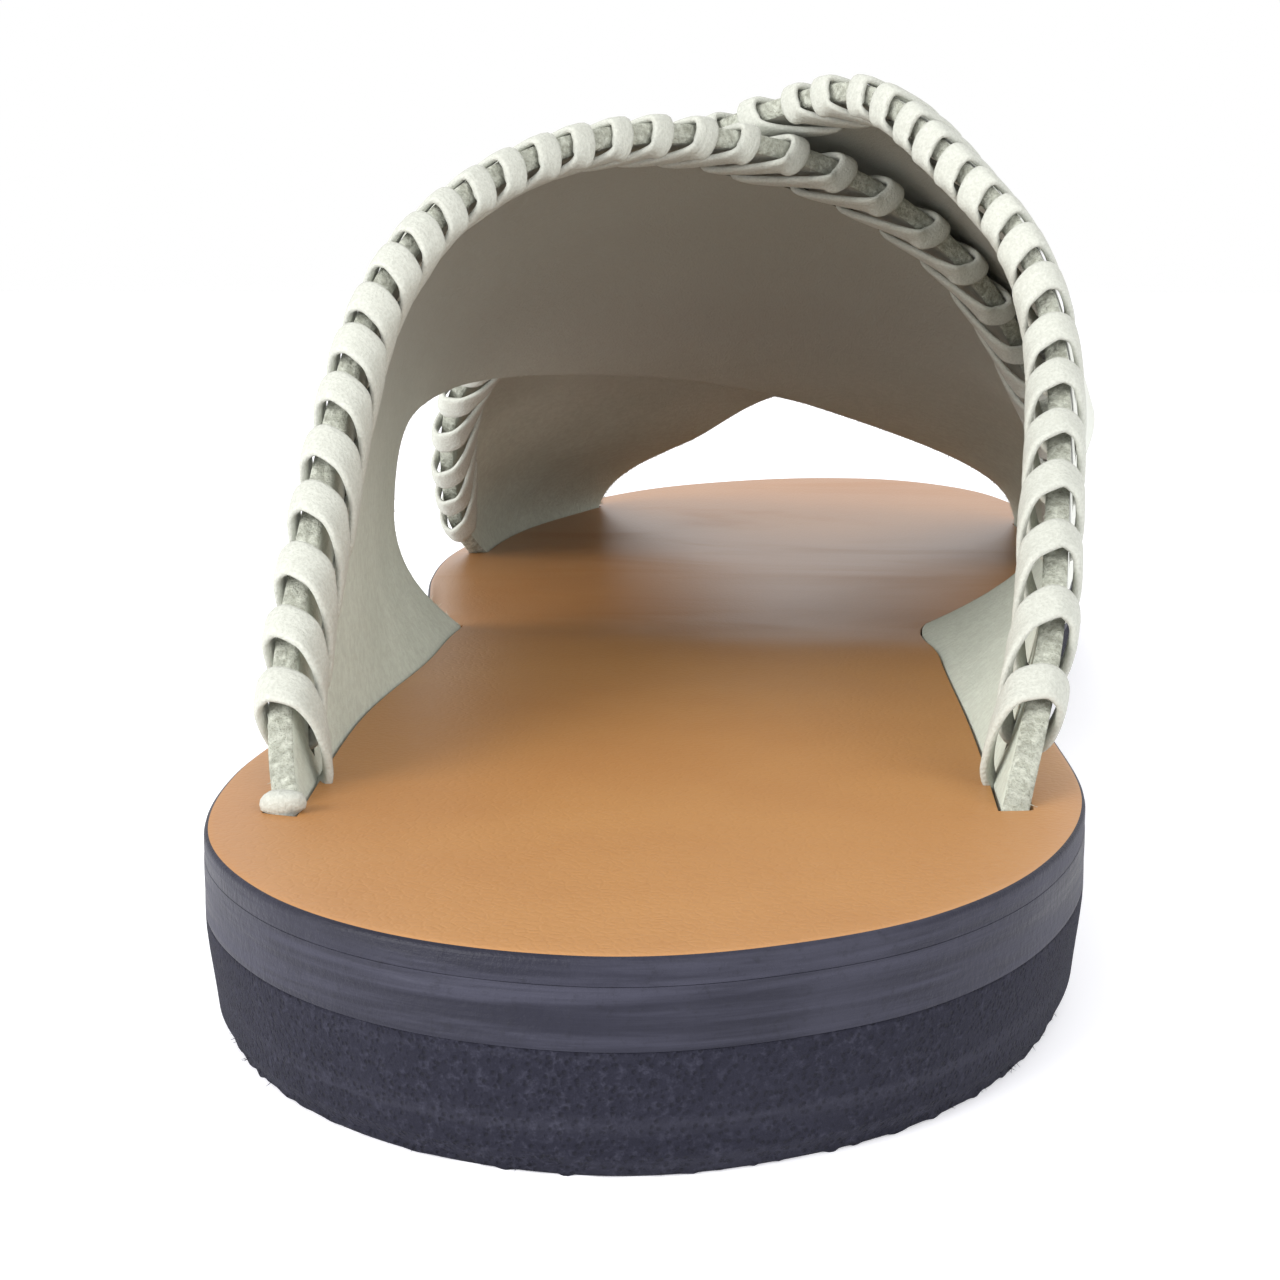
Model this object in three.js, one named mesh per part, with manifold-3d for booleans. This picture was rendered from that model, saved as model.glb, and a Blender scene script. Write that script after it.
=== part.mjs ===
// A crossed-strap leather slide for the left foot: a foam outsole, a midsole, a leather
// insole, two wide straps joined where they cross, and a flat lace whipped over the rear
// edge of each strap. Millimetres, +Z up, +Y towards the toe, +X towards the big toe's side.
import * as THREE from 'three';
import { mergeVertices } from 'three/addons/utils/BufferGeometryUtils.js';
import Module from 'manifold-3d';

const wasm = await Module();
wasm.setup();

// Sole
const LENGTH = 251;
const BALL_WIDTH = 90;
const HEEL_HEIGHT = 14.3;
const FOREFOOT_HEIGHT = 13.1;
const TOE_SPRING = 5;
const SPRING_START = 0.745;
const INSOLE_THICKNESS = 1.8;
const MIDSOLE_THICKNESS = 3.7;
const LAYER_GAP = 0.3;
const TREAD_INSET = 1.6;
const TREAD_RISE = 1.8;
const SIDE_INSET = 0.9;
const SOLE_ROWS = 40;

// Straps
const INSTEP_HEIGHT = 53.2;
const WALL = 2;
const FLARE_HEIGHT = 14;
const STRAP_DEPTH = 4;
const SLOT_CLEARANCE = 0.3;
const STRAP_ROWS = 28;

// Lace
const LACE_WIDTH = 3.1;
const LACE_GATHERED = 1.9;
const LACE_THICKNESS = 0.8;
const LACE_PITCH = 8;
const LACE_REACH = 6;
const LACE_CLEARANCE = 0.45;
const LACE_START = 10.5;
const LACE_FOOT = 3.8;
const LACE_TAIL = 4.5;
const TAIL_REACH = 2.5;
const LACE_ROUNDING = 0.15;
const TIP_WIDTH = 2.2;
const TIP_HEAD = 3.4;
const TIP_THICKNESS = 2;
const TIP_RISE = 1.6;
const JOIN_DEPTH = 0.15;
const LIFT_LEAD = 6;
const LIFT_BLEND = 24;

const HALF_WIDTH = BALL_WIDTH / 2;

// Outline of the footbed: shares of the length and of half the ball width
const OUTLINE = [
  { along: 0, lateral: -0.019, medial: 0.019 },
  { along: 0.012, lateral: 0.269, medial: 0.264 },
  { along: 0.04, lateral: 0.477, medial: 0.477 },
  { along: 0.09, lateral: 0.654, medial: 0.649 },
  { along: 0.16, lateral: 0.739, medial: 0.739 },
  { along: 0.25, lateral: 0.741, medial: 0.718 },
  { along: 0.34, lateral: 0.739, medial: 0.667 },
  { along: 0.43, lateral: 0.777, medial: 0.678 },
  { along: 0.52, lateral: 0.868, medial: 0.783 },
  { along: 0.61, lateral: 0.976, medial: 0.876 },
  { along: 0.7, lateral: 1.04, medial: 0.945 },
  { along: 0.78, lateral: 1.034, medial: 0.961 },
  { along: 0.86, lateral: 0.955, medial: 0.934 },
  { along: 0.92, lateral: 0.792, medial: 0.844 },
  { along: 0.965, lateral: 0.538, medial: 0.697 },
  { along: 0.99, lateral: 0.211, medial: 0.48 },
  { along: 1, lateral: -0.158, medial: 0.201 },
];

// Sections of the last under the straps: bases, widest points and ridge as shares of half
// the ball width, crown as a share of the instep height, power as the squareness of the arch
const LAST = [
  { along: 0.114, baseLateral: 0.547, baseMedial: 0.605, wideLateral: 0.623, wideMedial: 0.635,
    crown: 0.982, ridge: 0.067, power: 4.8 },
  { along: 0.25, baseLateral: 0.642, baseMedial: 0.571, wideLateral: 0.66, wideMedial: 0.69,
    crown: 0.982, ridge: 0.089, power: 4.8 },
  { along: 0.389, baseLateral: 0.664, baseMedial: 0.518, wideLateral: 0.78, wideMedial: 0.775,
    crown: 1, ridge: 0.111, power: 4.3 },
  { along: 0.489, baseLateral: 0.716, baseMedial: 0.48, wideLateral: 0.862, wideMedial: 0.8,
    crown: 0.881, ridge: 0.133, power: 3.6 },
  { along: 0.588, baseLateral: 0.836, baseMedial: 0.673, wideLateral: 0.941, wideMedial: 0.874,
    crown: 0.716, ridge: 0.133, power: 2.9 },
  { along: 0.708, baseLateral: 0.933, baseMedial: 0.844, wideLateral: 1.019, wideMedial: 0.918,
    crown: 0.514, ridge: 0.111, power: 2.4 },
  { along: 0.827, baseLateral: 0.899, baseMedial: 0.844, wideLateral: 0.939, wideMedial: 0.908,
    crown: 0.312, ridge: 0.044, power: 1.8 },
  { along: 0.935, baseLateral: 0.622, baseMedial: 0.697, wideLateral: 0.644, wideMedial: 0.771,
    crown: 0.165, ridge: 0.032, power: 1.7 },
];

// Edges of the two straps as shares of the length, from the lateral base (turn 0) over the
// instep to the medial base (turn 1)
const EDGES = [
  { turn: 0, underRear: 0.123, underFront: 0.457, overRear: 0.722, overFront: 0.903 },
  { turn: 0.05, underRear: 0.164, underFront: 0.422, overRear: 0.696, overFront: 0.905 },
  { turn: 0.1, underRear: 0.197, underFront: 0.415, overRear: 0.672, overFront: 0.903 },
  { turn: 0.15, underRear: 0.228, underFront: 0.441, overRear: 0.644, overFront: 0.899 },
  { turn: 0.2, underRear: 0.253, underFront: 0.521, overRear: 0.616, overFront: 0.893 },
  { turn: 0.3, underRear: 0.293, underFront: 0.644, overRear: 0.552, overFront: 0.873 },
  { turn: 0.4, underRear: 0.355, underFront: 0.718, overRear: 0.487, overFront: 0.831 },
  { turn: 0.5, underRear: 0.425, underFront: 0.773, overRear: 0.429, overFront: 0.766 },
  { turn: 0.6, underRear: 0.473, underFront: 0.813, overRear: 0.377, overFront: 0.696 },
  { turn: 0.7, underRear: 0.517, underFront: 0.841, overRear: 0.345, overFront: 0.626 },
  { turn: 0.8, underRear: 0.588, underFront: 0.859, overRear: 0.309, overFront: 0.568 },
  { turn: 0.85, underRear: 0.63, underFront: 0.865, overRear: 0.27, overFront: 0.529 },
  { turn: 0.9, underRear: 0.668, underFront: 0.871, overRear: 0.226, overFront: 0.505 },
  { turn: 0.95, underRear: 0.694, underFront: 0.873, overRear: 0.184, overFront: 0.485 },
  { turn: 1, underRear: 0.708, underFront: 0.867, overRear: 0.146, overFront: 0.493 },
];

// Steps between the turns of each lace as shares of its widest pitch, closer over the instep
const PITCHES = [
  { turn: 0, under: 0.7, over: 0.88 },
  { turn: 0.1, under: 0.82, over: 0.88 },
  { turn: 0.2, under: 0.63, over: 0.88 },
  { turn: 0.3, under: 0.55, over: 0.85 },
  { turn: 0.4, under: 0.62, over: 0.8 },
  { turn: 0.5, under: 0.82, over: 0.72 },
  { turn: 0.6, under: 0.94, over: 0.52 },
  { turn: 0.7, under: 0.95, over: 0.51 },
  { turn: 0.8, under: 0.94, over: 0.76 },
  { turn: 0.9, under: 0.94, over: 0.99 },
  { turn: 1, under: 0.94, over: 1 },
];

// Curve through one or more columns of a table
function column(rows, positions, name, size = 1) {
  const curve = new THREE.CubicInterpolant(positions, rows.map((row) => row[name] * size), 1);
  return (at) => curve.evaluate(THREE.MathUtils.clamp(at, positions[0], positions.at(-1)))[0];
}

const outlineTurns = OUTLINE.map((row) => Math.acos(1 - 2 * row.along) / Math.PI);
const lateralEdge = column(OUTLINE, outlineTurns, 'lateral', -HALF_WIDTH);
const medialEdge = column(OUTLINE, outlineTurns, 'medial', HALF_WIDTH);

const lastStations = LAST.map((row) => row.along * LENGTH);
const last = {
  baseLateral: column(LAST, lastStations, 'baseLateral', -HALF_WIDTH),
  baseMedial: column(LAST, lastStations, 'baseMedial', HALF_WIDTH),
  wideLateral: column(LAST, lastStations, 'wideLateral', -HALF_WIDTH),
  wideMedial: column(LAST, lastStations, 'wideMedial', HALF_WIDTH),
  crown: column(LAST, lastStations, 'crown', INSTEP_HEIGHT),
  ridge: column(LAST, lastStations, 'ridge', HALF_WIDTH),
  power: column(LAST, lastStations, 'power'),
};

const edgeTurns = EDGES.map((row) => row.turn);
const pitchTurns = PITCHES.map((row) => row.turn);
const under = {
  rear: column(EDGES, edgeTurns, 'underRear', LENGTH),
  front: column(EDGES, edgeTurns, 'underFront', LENGTH),
  pitch: column(PITCHES, pitchTurns, 'under', LACE_PITCH),
};
const over = {
  rear: column(EDGES, edgeTurns, 'overRear', LENGTH),
  front: column(EDGES, edgeTurns, 'overFront', LENGTH),
  pitch: column(PITCHES, pitchTurns, 'over', LACE_PITCH),
};

const { smoothstep, lerp } = THREE.MathUtils;

// Heights of the sole's layers along the foot
function springAt(y) {
  const share = Math.max(0, (y / LENGTH - SPRING_START) / (1 - SPRING_START));
  return TOE_SPRING * share * share;
}

function footbedAt(y) {
  return lerp(HEEL_HEIGHT, FOREFOOT_HEIGHT, smoothstep(y, 0.17 * LENGTH, 0.75 * LENGTH)) + springAt(y);
}

// Closed solid through rings of points; each ring runs out along one row and back along
// another, and the two end rings are closed between those rows
function loft(rings) {
  const count = rings[0].length;
  const positions = rings.flatMap((ring) => ring.flatMap((point) => point.toArray()));
  const index = [];
  for (let i = 0; i + 1 < rings.length; i += 1) {
    for (let j = 0; j < count; j += 1) {
      const a = i * count + j;
      const b = i * count + ((j + 1) % count);
      index.push(a, b, b + count, a, b + count, a + count);
    }
  }
  const end = (rings.length - 1) * count;
  for (let j = 0; j + 1 < count / 2; j += 1) {
    const back = count - 1 - j;
    index.push(j + 1, j, back, j + 1, back, back - 1);
    index.push(end + j, end + j + 1, end + back, end + j + 1, end + back - 1, end + back);
  }
  const geometry = new THREE.BufferGeometry();
  geometry.setAttribute('position', new THREE.Float32BufferAttribute(positions, 3));
  geometry.setIndex(index);
  return outward(geometry);
}

// Turns a closed mesh so that its faces point out
function outward(geometry) {
  const points = geometry.getAttribute('position');
  const index = geometry.getIndex().array;
  const [a, b, c] = [new THREE.Vector3(), new THREE.Vector3(), new THREE.Vector3()];
  let volume = 0;
  for (let i = 0; i < index.length; i += 3) {
    a.fromBufferAttribute(points, index[i]);
    b.fromBufferAttribute(points, index[i + 1]);
    c.fromBufferAttribute(points, index[i + 2]);
    volume += a.dot(b.cross(c));
  }
  if (volume < 0) {
    for (let i = 0; i < index.length; i += 3) {
      [index[i], index[i + 1]] = [index[i + 1], index[i]];
    }
  }
  return geometry;
}

function solidOf(geometry) {
  const bare = new THREE.BufferGeometry();
  bare.setAttribute('position', geometry.getAttribute('position'));
  bare.setIndex(geometry.getIndex());
  const merged = mergeVertices(bare, 1e-5);
  return new wasm.Manifold(new wasm.Mesh({
    numProp: 3,
    vertProperties: new Float32Array(merged.getAttribute('position').array),
    triVerts: new Uint32Array(merged.getIndex().array),
  }));
}

function geometryOf(solid) {
  const mesh = solid.getMesh();
  const geometry = new THREE.BufferGeometry();
  geometry.setAttribute('position', new THREE.Float32BufferAttribute(mesh.vertProperties, 3));
  geometry.setIndex(new THREE.Uint32BufferAttribute(mesh.triVerts, 1));
  return geometry;
}

// One layer of the sole: levels of height and inset, from the bottom up
function soleLayer(levels) {
  const rings = [];
  for (let i = 0; i <= SOLE_ROWS; i += 1) {
    const turn = (i + 0.35) / (SOLE_ROWS + 0.7);
    const y = (LENGTH / 2) * (1 - Math.cos(Math.PI * turn));
    const points = levels.map((level) => {
      const along = 1 - level.inset / (LENGTH / 2);
      const across = 1 - level.inset / HALF_WIDTH;
      const station = LENGTH / 2 + (y - LENGTH / 2) * along;
      const middle = (lateralEdge(turn) + medialEdge(turn)) / 2;
      const height = level.height(station);
      return {
        lateral: new THREE.Vector3(middle + (lateralEdge(turn) - middle) * across, station, height),
        medial: new THREE.Vector3(middle + (medialEdge(turn) - middle) * across, station, height),
      };
    });
    rings.push([...points.map((pair) => pair.lateral), ...points.map((pair) => pair.medial).reverse()]);
  }
  return loft(rings);
}

const insoleBottom = (y) => footbedAt(y) - INSOLE_THICKNESS;
const midsoleTop = (y) => insoleBottom(y) - LAYER_GAP;
const midsoleBottom = (y) => midsoleTop(y) - MIDSOLE_THICKNESS;
const outsoleTop = (y) => midsoleBottom(y) - LAYER_GAP;

// Inner face of the straps: an arch over the foot at each station, with its sides drawn in
// to the slots at the bottom and going straight down below the footbed
function lastPoint(turn, y) {
  const lateral = turn < 0.5;
  const base = lateral ? last.baseLateral(y) : last.baseMedial(y);
  const outside = Math.max(-turn, turn - 1);
  if (outside > 0) {
    return new THREE.Vector3(base, y, footbedAt(y) - outside * INSTEP_HEIGHT * Math.PI);
  }
  const rise = Math.sin(Math.PI * turn);
  const height = last.crown(y) * rise;
  const ridge = last.ridge(y);
  const wide = lateral ? last.wideLateral(y) : last.wideMedial(y);
  const spread = Math.sqrt(Math.max(0, 1 - rise ** last.power(y)));
  const drawnIn = Math.max(0, 1 - height / FLARE_HEIGHT) ** 2;
  return new THREE.Vector3(ridge + (wide - ridge) * spread + (base - wide) * drawnIn, y,
    footbedAt(y) + height);
}

const TURN_STEP = 0.006;
const STATION_STEP = 0.5;

function lastNormal(turn, y) {
  const around = lastPoint(turn + TURN_STEP, y).sub(lastPoint(turn - TURN_STEP, y));
  const along = lastPoint(turn, y + STATION_STEP).sub(lastPoint(turn, y - STATION_STEP));
  return around.cross(along).normalize();
}

// Distance along the leather from a strap's edge, counted towards the toe, on a flat chart of
// the last with the way around the foot laid out at the arch's mean length
const ARCH_LENGTH = INSTEP_HEIGHT * 2.8;
const EDGE_CHORDS = 48;

function chart(edge) {
  return Array.from({ length: EDGE_CHORDS }, (_, i) => new THREE.Line3(
    new THREE.Vector3((i / EDGE_CHORDS) * ARCH_LENGTH, edge(i / EDGE_CHORDS), 0),
    new THREE.Vector3(((i + 1) / EDGE_CHORDS) * ARCH_LENGTH, edge((i + 1) / EDGE_CHORDS), 0)));
}

for (const strap of [under, over]) {
  strap.rearChart = chart(strap.rear);
  strap.frontChart = chart(strap.front);
}

const nearest = new THREE.Vector3();

function edgeDistance(edge, edgeChart, turn, y) {
  const place = new THREE.Vector3(turn * ARCH_LENGTH, y, 0);
  const distances = edgeChart.map((chord) => (
    chord.closestPointToPoint(place, true, nearest).distanceTo(place)));
  return Math.sign(y - edge(turn)) * Math.min(...distances);
}

// Height of a strap's inner face above the last: the upper strap climbs over the lower one,
// with room for the laces that pass between them, and is joined to it in the middle
function liftOf(strap, turn, y) {
  if (strap === under || turn <= 0 || turn >= 1) {
    return 0;
  }
  const behind = -edgeDistance(under.rear, under.rearChart, turn, y);
  const ahead = edgeDistance(under.front, under.frontChart, turn, y);
  const crossing = 1 - smoothstep(Math.max(behind, ahead), LIFT_LEAD, LIFT_LEAD + LIFT_BLEND);
  const [laceUnder, laceOver] = [under, over].map((laced) => 1 - smoothstep(
    Math.abs(edgeDistance(laced.rear, laced.rearChart, turn, y)), LACE_REACH + 6, LACE_REACH + 22));
  const room = (laceUnder + laceOver) * (LACE_THICKNESS + LACE_CLEARANCE)
    + Math.max(laceUnder, laceOver) * (LACE_CLEARANCE + JOIN_DEPTH);
  return crossing * (WALL - JOIN_DEPTH + room);
}

function strapPoint(strap, turn, y, depth) {
  const normal = lastNormal(turn, y);
  return lastPoint(turn, y).addScaledVector(normal, liftOf(strap, turn, y) + depth);
}

function strapNormal(strap, turn, y) {
  const around = strapPoint(strap, turn + TURN_STEP, y, 0).sub(strapPoint(strap, turn - TURN_STEP, y, 0));
  const along = strapPoint(strap, turn, y + STATION_STEP, 0).sub(strapPoint(strap, turn, y - STATION_STEP, 0));
  return around.cross(along).normalize();
}

// Rows across a strap: a few at fixed distances from the laced edge, then even shares
function stationsAcross(rear, front) {
  const laced = [0, 6, 12, 18];
  const rest = [0.22, 0.46, 0.72, 1];
  return [...laced.map((step) => rear + step), ...rest.map((share) => lerp(rear + laced.at(-1), front, share))];
}

function strapRing(strap, turn, inner, outer, grow = 0, tail = 0) {
  const place = THREE.MathUtils.clamp(turn, 0, 1);
  const stations = stationsAcross(strap.rear(place) - grow - tail, strap.front(place) + grow);
  return [
    ...stations.map((y) => strapPoint(strap, turn, y, inner)),
    ...stations.reverse().map((y) => strapPoint(strap, turn, y, outer)),
  ];
}

const depthTurn = STRAP_DEPTH / (INSTEP_HEIGHT * Math.PI);

function strapBand(strap) {
  const turns = [-depthTurn, -depthTurn * 0.55];
  for (let i = 0; i <= STRAP_ROWS; i += 1) {
    turns.push(i / STRAP_ROWS);
  }
  turns.push(1 + depthTurn * 0.55, 1 + depthTurn);
  return loft(turns.map((turn) => strapRing(strap, turn, 0, WALL)));
}

// Cutters for the slots that take the straps' feet, wider than the leather all round
function slotCutter(strap, side, tail = 0) {
  const below = depthTurn + SLOT_CLEARANCE / (INSTEP_HEIGHT * Math.PI);
  const turns = [-below, -depthTurn * 0.55, 0, 1 / STRAP_ROWS].map((turn) => (side < 0 ? turn : 1 - turn));
  const rings = turns.map((turn) => (
    strapRing(strap, turn, -SLOT_CLEARANCE, WALL + SLOT_CLEARANCE, SLOT_CLEARANCE, tail)));
  return loft(rings);
}

// Frame on a strap at a distance along its laced edge and a distance in from that edge
function lacedEdge(strap) {
  const steps = 400;
  const turns = [];
  const lengths = [0];
  const points = [];
  for (let i = 0; i <= steps; i += 1) {
    turns.push(i / steps);
    points.push(strapPoint(strap, i / steps, strap.rear(i / steps), WALL / 2));
    if (i > 0) {
      lengths.push(lengths[i - 1] + points[i].distanceTo(points[i - 1]));
    }
  }
  const turnAt = new THREE.LinearInterpolant(lengths, turns, 1);
  return {
    length: lengths.at(-1),
    turnAt: (distance) => turnAt.evaluate(THREE.MathUtils.clamp(distance, 0, lengths.at(-1)))[0],
  };
}

function edgeFrame(strap, edge, distance) {
  const turn = edge.turnAt(distance);
  const y = strap.rear(turn);
  const onEdge = (at) => strapPoint(strap, at, strap.rear(at), 0);
  const tangent = onEdge(turn + TURN_STEP).sub(onEdge(turn - TURN_STEP)).normalize();
  const inward = tangent.clone().cross(strapNormal(strap, turn, y)).normalize();
  if (inward.y < 0) {
    inward.negate();
  }
  const around = strapPoint(strap, turn + TURN_STEP, y, 0).sub(strapPoint(strap, turn - TURN_STEP, y, 0));
  const along = strapPoint(strap, turn, y + STATION_STEP, 0).sub(strapPoint(strap, turn, y - STATION_STEP, 0));
  around.divideScalar(2 * TURN_STEP);
  along.divideScalar(2 * STATION_STEP);
  const [aa, ab, bb] = [around.dot(around), around.dot(along), along.dot(along)];
  const [ai, bi] = [around.dot(inward), along.dot(inward)];
  const determinant = aa * bb - ab * ab;
  return {
    turn, y, tangent,
    turnPerStep: (ai * bb - bi * ab) / determinant,
    stationPerStep: (bi * aa - ai * ab) / determinant,
  };
}

// A place on a strap, with the leather's normal and the lace's width direction there
function onStrap(strap, edge, distance, inset, depth) {
  const frame = edgeFrame(strap, edge, distance);
  const turn = frame.turn + frame.turnPerStep * inset;
  const y = frame.y + frame.stationPerStep * inset;
  const normal = strapNormal(strap, turn, y);
  const width = frame.tangent.clone().projectOnPlane(normal).normalize();
  const point = strapPoint(strap, turn, y, 0).addScaledVector(normal, depth);
  return { point, normal, width };
}

// Holes sit nearer the edge where the strap runs down to the footbed
function reachAt(edge, distance) {
  return Math.min(LACE_REACH, 0.8 * Math.min(distance, edge.length - distance) - LACE_FOOT);
}

function holeDistances(strap, edge) {
  const end = edge.length - LACE_START;
  const distances = [LACE_START];
  while (distances.at(-1) < end) {
    distances.push(distances.at(-1) + strap.pitch(edge.turnAt(distances.at(-1))));
  }
  const fit = (end - LACE_START) / (distances.at(-1) - LACE_START);
  return distances.map((distance) => lerp(LACE_START, distance, fit));
}

function punch(strap, edge, distance) {
  const size = new THREE.Vector3(LACE_GATHERED + 2 * LACE_CLEARANCE, LACE_THICKNESS + 2 * LACE_CLEARANCE, 3 * WALL);
  const geometry = new THREE.BoxGeometry(size.x, size.y, size.z);
  geometry.deleteAttribute('uv');
  geometry.deleteAttribute('normal');
  const { point, normal, width } = onStrap(strap, edge, distance, reachAt(edge, distance), WALL / 2);
  const basis = new THREE.Matrix4().makeBasis(width, normal.clone().cross(width), normal);
  geometry.applyMatrix4(basis.setPosition(point));
  return solidOf(geometry);
}

// Flat ribbon through a run of places, its width along the laced edge and gathered in the holes
function ribbon(places) {
  const rings = places.map((place, i) => {
    const before = places[Math.max(0, i - 1)].point;
    const after = places[Math.min(places.length - 1, i + 1)].point;
    const incoming = place.point.clone().sub(before).normalize();
    const outgoing = after.clone().sub(place.point).normalize();
    const sideIn = incoming.lengthSq() > 0 ? incoming.cross(place.width).normalize() : null;
    const sideOut = outgoing.lengthSq() > 0 ? outgoing.cross(place.width).normalize() : null;
    const side = (sideIn ?? sideOut).clone().add(sideOut ?? sideIn).normalize();
    const mitre = 1 / Math.max(0.6, side.dot(sideIn ?? sideOut));
    const thick = side.multiplyScalar((LACE_THICKNESS / 2) * mitre);
    const wide = place.width.clone().multiplyScalar(place.across / 2);
    return [
      place.point.clone().add(wide).add(thick),
      place.point.clone().sub(wide).add(thick),
      place.point.clone().sub(wide).sub(thick),
      place.point.clone().add(wide).sub(thick),
    ];
  });
  return loft(rings);
}

// Whipped lace: up the outer face from each hole, over the edge, and slanting down the inner
// face to the next hole; both ends lie on the inner face, above the footbed
function whippedLace(strap, edge, forwards) {
  const clear = LACE_CLEARANCE + LACE_THICKNESS / 2;
  const [inside, outside] = [-clear, WALL + clear];
  const holes = holeDistances(strap, edge);
  const order = forwards ? holes : holes.slice().reverse();
  const towards = forwards ? 1 : -1;
  const places = [];
  const add = (distance, inset, depth, across = LACE_WIDTH) => (
    places.push({ ...onStrap(strap, edge, distance, inset, depth), across }));
  add(order[0] - towards * LACE_TAIL, TAIL_REACH, inside);
  for (const here of order) {
    const reach = reachAt(edge, here);
    add(here, reach, inside, LACE_GATHERED);
    add(here, reach, outside, LACE_GATHERED);
    add(here, -LACE_ROUNDING, outside);
    add(here, -clear, WALL + LACE_ROUNDING);
    add(here, -clear, -LACE_ROUNDING);
    add(here, -LACE_ROUNDING, inside);
  }
  add(order.at(-1) + towards * LACE_TAIL, TAIL_REACH, inside);
  return ribbon(places);
}

// End of the lace, standing in the slot behind the foot of the lower strap, with a low head
function laceTip() {
  const rear = under.rear(0) - SLOT_CLEARANCE - TIP_THICKNESS / 2;
  const middle = last.baseLateral(rear) - WALL / 2;
  const rows = [
    { rise: -STRAP_DEPTH, across: TIP_WIDTH, thickness: TIP_THICKNESS },
    { rise: SLOT_CLEARANCE, across: TIP_WIDTH, thickness: TIP_THICKNESS },
    { rise: SLOT_CLEARANCE + TIP_RISE * 0.1, across: TIP_HEAD * 0.9, thickness: TIP_THICKNESS },
    { rise: TIP_RISE * 0.65, across: TIP_HEAD, thickness: TIP_THICKNESS },
    { rise: TIP_RISE, across: TIP_HEAD * 0.65, thickness: TIP_THICKNESS * 0.5 },
  ];
  return loft(rows.map(({ rise, across, thickness }) => {
    const centre = new THREE.Vector3(middle, rear, footbedAt(rear) + rise);
    const corners = [[1, 1], [-1, 1], [-1, -1], [1, -1]];
    return corners.map(([x, y]) => (
      centre.clone().add(new THREE.Vector3(x * across / 2, y * thickness / 2, 0))));
  }));
}

function strapWithHoles(strap, edge) {
  return holeDistances(strap, edge).reduce(
    (solid, distance) => solid.subtract(punch(strap, edge, distance)), solidOf(strapBand(strap)));
}

const MATERIALS = {
  outsole: new THREE.MeshStandardMaterial({ color: 0x232326, roughness: 0.95, metalness: 0 }),
  midsole: new THREE.MeshStandardMaterial({ color: 0x2b2b30, roughness: 0.55, metalness: 0 }),
  insole: new THREE.MeshStandardMaterial({ color: 0xc68a55, roughness: 0.5, metalness: 0 }),
  upper: new THREE.MeshStandardMaterial({ color: 0xc9ccc0, roughness: 0.75, metalness: 0 }),
  lace: new THREE.MeshStandardMaterial({ color: 0xecece4, roughness: 0.6, metalness: 0 }),
};

const sandal = new THREE.Group();

function addPiece(name, geometry, material) {
  const mesh = new THREE.Mesh(geometry, material);
  mesh.name = name;
  sandal.add(mesh);
}

const outsole = soleLayer([
  { inset: TREAD_INSET, height: springAt },
  { inset: SIDE_INSET, height: (y) => springAt(y) + TREAD_RISE },
  { inset: 0, height: outsoleTop },
]);
const midsole = soleLayer([{ inset: 0, height: midsoleBottom }, { inset: 0, height: midsoleTop }]);
const insole = soleLayer([{ inset: 0.2, height: insoleBottom }, { inset: 0.2, height: footbedAt }]);

const slots = [
  slotCutter(under, -1, TIP_THICKNESS + 2 * SLOT_CLEARANCE), slotCutter(under, 1),
  slotCutter(over, -1), slotCutter(over, 1),
].map(solidOf);
const cutSlots = (geometry) => geometryOf(slots.reduce((solid, slot) => solid.subtract(slot), solidOf(geometry)));

const underEdge = lacedEdge(under);
const overEdge = lacedEdge(over);
const straps = strapWithHoles(under, underEdge).add(strapWithHoles(over, overEdge));

addPiece('outsole', outsole, MATERIALS.outsole);
addPiece('midsole', cutSlots(midsole), MATERIALS.midsole);
addPiece('insole', cutSlots(insole), MATERIALS.insole);
addPiece('upper', geometryOf(straps), MATERIALS.upper);
addPiece('lace_under', whippedLace(under, underEdge, false), MATERIALS.lace);
addPiece('lace_over', whippedLace(over, overEdge, true), MATERIALS.lace);
addPiece('lace_tip', laceTip(), MATERIALS.lace);

// The origin lies on the floor under the middle of the sandal
const box = new THREE.Box3().setFromObject(sandal);
sandal.position.set(-(box.min.x + box.max.x) / 2, -(box.min.y + box.max.y) / 2, -box.min.z);
sandal.updateMatrixWorld(true);

export default sandal;
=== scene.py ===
"""Looks of a crossed-strap leather slide for the left foot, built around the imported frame."""

import math

import bmesh
import bpy
import numpy as np
from mathutils import Matrix, Vector


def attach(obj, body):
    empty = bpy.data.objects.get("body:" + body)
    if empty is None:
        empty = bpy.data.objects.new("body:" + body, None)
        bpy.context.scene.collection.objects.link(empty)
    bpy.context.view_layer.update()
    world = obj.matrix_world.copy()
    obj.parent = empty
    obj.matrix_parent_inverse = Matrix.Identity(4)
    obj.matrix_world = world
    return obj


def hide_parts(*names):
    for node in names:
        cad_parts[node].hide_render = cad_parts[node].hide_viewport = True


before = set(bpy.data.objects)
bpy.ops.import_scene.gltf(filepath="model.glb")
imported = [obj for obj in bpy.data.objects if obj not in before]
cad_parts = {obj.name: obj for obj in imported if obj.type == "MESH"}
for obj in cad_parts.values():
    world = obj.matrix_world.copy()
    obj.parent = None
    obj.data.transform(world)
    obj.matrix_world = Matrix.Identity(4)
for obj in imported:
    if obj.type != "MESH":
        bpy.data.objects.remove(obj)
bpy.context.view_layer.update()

MM = 0.001

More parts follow.
